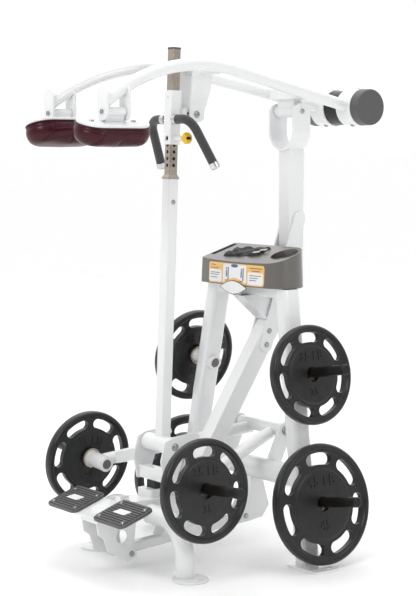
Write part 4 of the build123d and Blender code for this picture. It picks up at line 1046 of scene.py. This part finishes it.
def end_caps():
    """Stepped white collars and grey plugs on the inner ends of the weight sockets."""
    for station in PLATE_MARKS:
        for side_name, side in SIDES.items():
            axis = Vector(joints[f"{station}_plate_slide_{side_name}"]["axis"])
            node = "lever_horns" if station == "lever" else "storage_sockets"
            plate_centre = middle(f"{station}_plate_{side_name}")
            tree = surface(node)
            start = plate_centre - axis * RAY_START + Vector((0, 0, PLATE_DROP * axis.x * side))
            probe = start + UP.cross(axis).normalized() * RAY_OFFSET
            hit = tree.ray_cast(probe, axis)[0]
            if hit is None:
                continue
            end = start + axis * (hit - probe).length
            place = basis(end, -axis)
            ring = lathe(f"socket_collar_{station}_{side_name}", [(r * MM, h * MM) for r, h in COLLAR],
                         place, FINISHES["white_frame"], 64)
            attach(ring, body_of_node[node])
            cap = lathe(f"socket_plug_{station}_{side_name}", [(r * MM, h * MM) for r, h in PLUG], place,
                        SOCKET_PLUG, 48)
            attach(cap, body_of_node[node])


# -------------------- stage, light and camera
FLOOR_HALF, FLOOR_DROP = 400.0, 0.5 * MM
# the backdrop is brightest ahead of the camera, dim behind it, and a little brighter overhead
GLOW_AHEAD = (-0.79, 0.60, -0.05)
GLOW_FROM, GLOW_TO, GLOW_OVERHEAD = (-0.5, 0.6), (0.28, 1.06), 0.6
# each lamp: place, size in metres and power in watts
LAMPS = {"key": ((1.5, -4.5, 4.0), 2.0, 90), "side": ((5.5, 1.5, 3.0), 1.6, 45),
         "top": ((-0.5, 0.5, 5.0), 3.0, 40)}
LAMPS_AIM = Vector((0, 0, 0.9))
# millimetres; the picture's longer side is the sensor's width
FOCAL_LENGTH, SENSOR = 96.59, 36.0
CAMERA_TURN, CAMERA_RISE = math.radians(52.92), math.radians(5.37)
CAMERA_AIM, CAMERA_DISTANCE = Vector((0.171, -0.160, 0.999)), 5.864


def stage():
    """A pale floor and a world whose glow is strongest ahead of the camera."""
    half = FLOOR_HALF
    floor = add_mesh("floor", [(-half, -half, 0), (half, -half, 0), (half, half, 0), (-half, half, 0)],
                     [(0, 1, 2, 3)], FLOOR)
    floor.location.z = -FLOOR_DROP
    world = bpy.data.worlds.new("studio")
    bpy.context.scene.world = world
    world.use_nodes = True
    nodes, links = world.node_tree.nodes, world.node_tree.links
    background = nodes["Background"]
    background.inputs["Color"].default_value = (1.0, 1.0, 1.0, 1)
    place = nodes.new("ShaderNodeTexCoord")
    facing = nodes.new("ShaderNodeVectorMath")
    facing.operation = "DOT_PRODUCT"
    facing.inputs[1].default_value = GLOW_AHEAD
    links.new(place.outputs["Generated"], facing.inputs[0])
    glow = nodes.new("ShaderNodeMapRange")
    for end, at, strength in zip(("Min", "Max"), GLOW_FROM, GLOW_TO):
        glow.inputs[f"From {end}"].default_value = at
        glow.inputs[f"To {end}"].default_value = strength
    links.new(facing.outputs["Value"], glow.inputs["Value"])
    split = nodes.new("ShaderNodeSeparateXYZ")
    links.new(place.outputs["Generated"], split.inputs["Vector"])
    sky = nodes.new("ShaderNodeMapRange")
    sky.inputs["To Max"].default_value = GLOW_OVERHEAD
    links.new(split.outputs["Z"], sky.inputs["Value"])
    total = nodes.new("ShaderNodeMath")
    links.new(glow.outputs["Result"], total.inputs[0])
    links.new(sky.outputs["Result"], total.inputs[1])
    links.new(total.outputs["Value"], background.inputs["Strength"])


def lamps():
    """Soft lamps in front, at the side and overhead."""
    for name, (spot, size, power) in LAMPS.items():
        lamp = bpy.data.lights.new(name, "AREA")
        lamp.size = size
        lamp.energy = power
        holder = bpy.data.objects.new(name, lamp)
        holder.location = spot
        holder.rotation_mode = "QUATERNION"
        holder.rotation_quaternion = (LAMPS_AIM - Vector(spot)).to_track_quat("-Z", "Y")
        bpy.context.scene.collection.objects.link(holder)


def view():
    """The photograph's camera, with no roll."""
    lens = bpy.data.cameras.new("camera")
    lens.sensor_width = SENSOR
    lens.lens = FOCAL_LENGTH
    camera = bpy.data.objects.new("camera", lens)
    back = Vector((math.sin(CAMERA_TURN) * math.cos(CAMERA_RISE),
                   -math.cos(CAMERA_TURN) * math.cos(CAMERA_RISE), math.sin(CAMERA_RISE)))
    camera.matrix_world = basis(CAMERA_AIM + back * CAMERA_DISTANCE, back)
    bpy.context.scene.collection.objects.link(camera)
    bpy.context.scene.camera = camera
    bpy.context.scene.view_settings.view_transform = "Standard"


reshaped("yoke", yoke_flattened)
reshaped("console_bracket", bracket_tucked)
yoke_bolt()
shoulder_arms()
clamp_bolts()
for plate_station in PLATE_MARKS:
    for plate_side in SIDES:
        weight_plate(plate_station, plate_side)
shoulder_cushions()
pad_bolts()
foam_grips()
pull_knob()
for pad_side in SIDES:
    foot_pad(pad_side)
console_details()
end_caps()
stage()
lamps()
view()
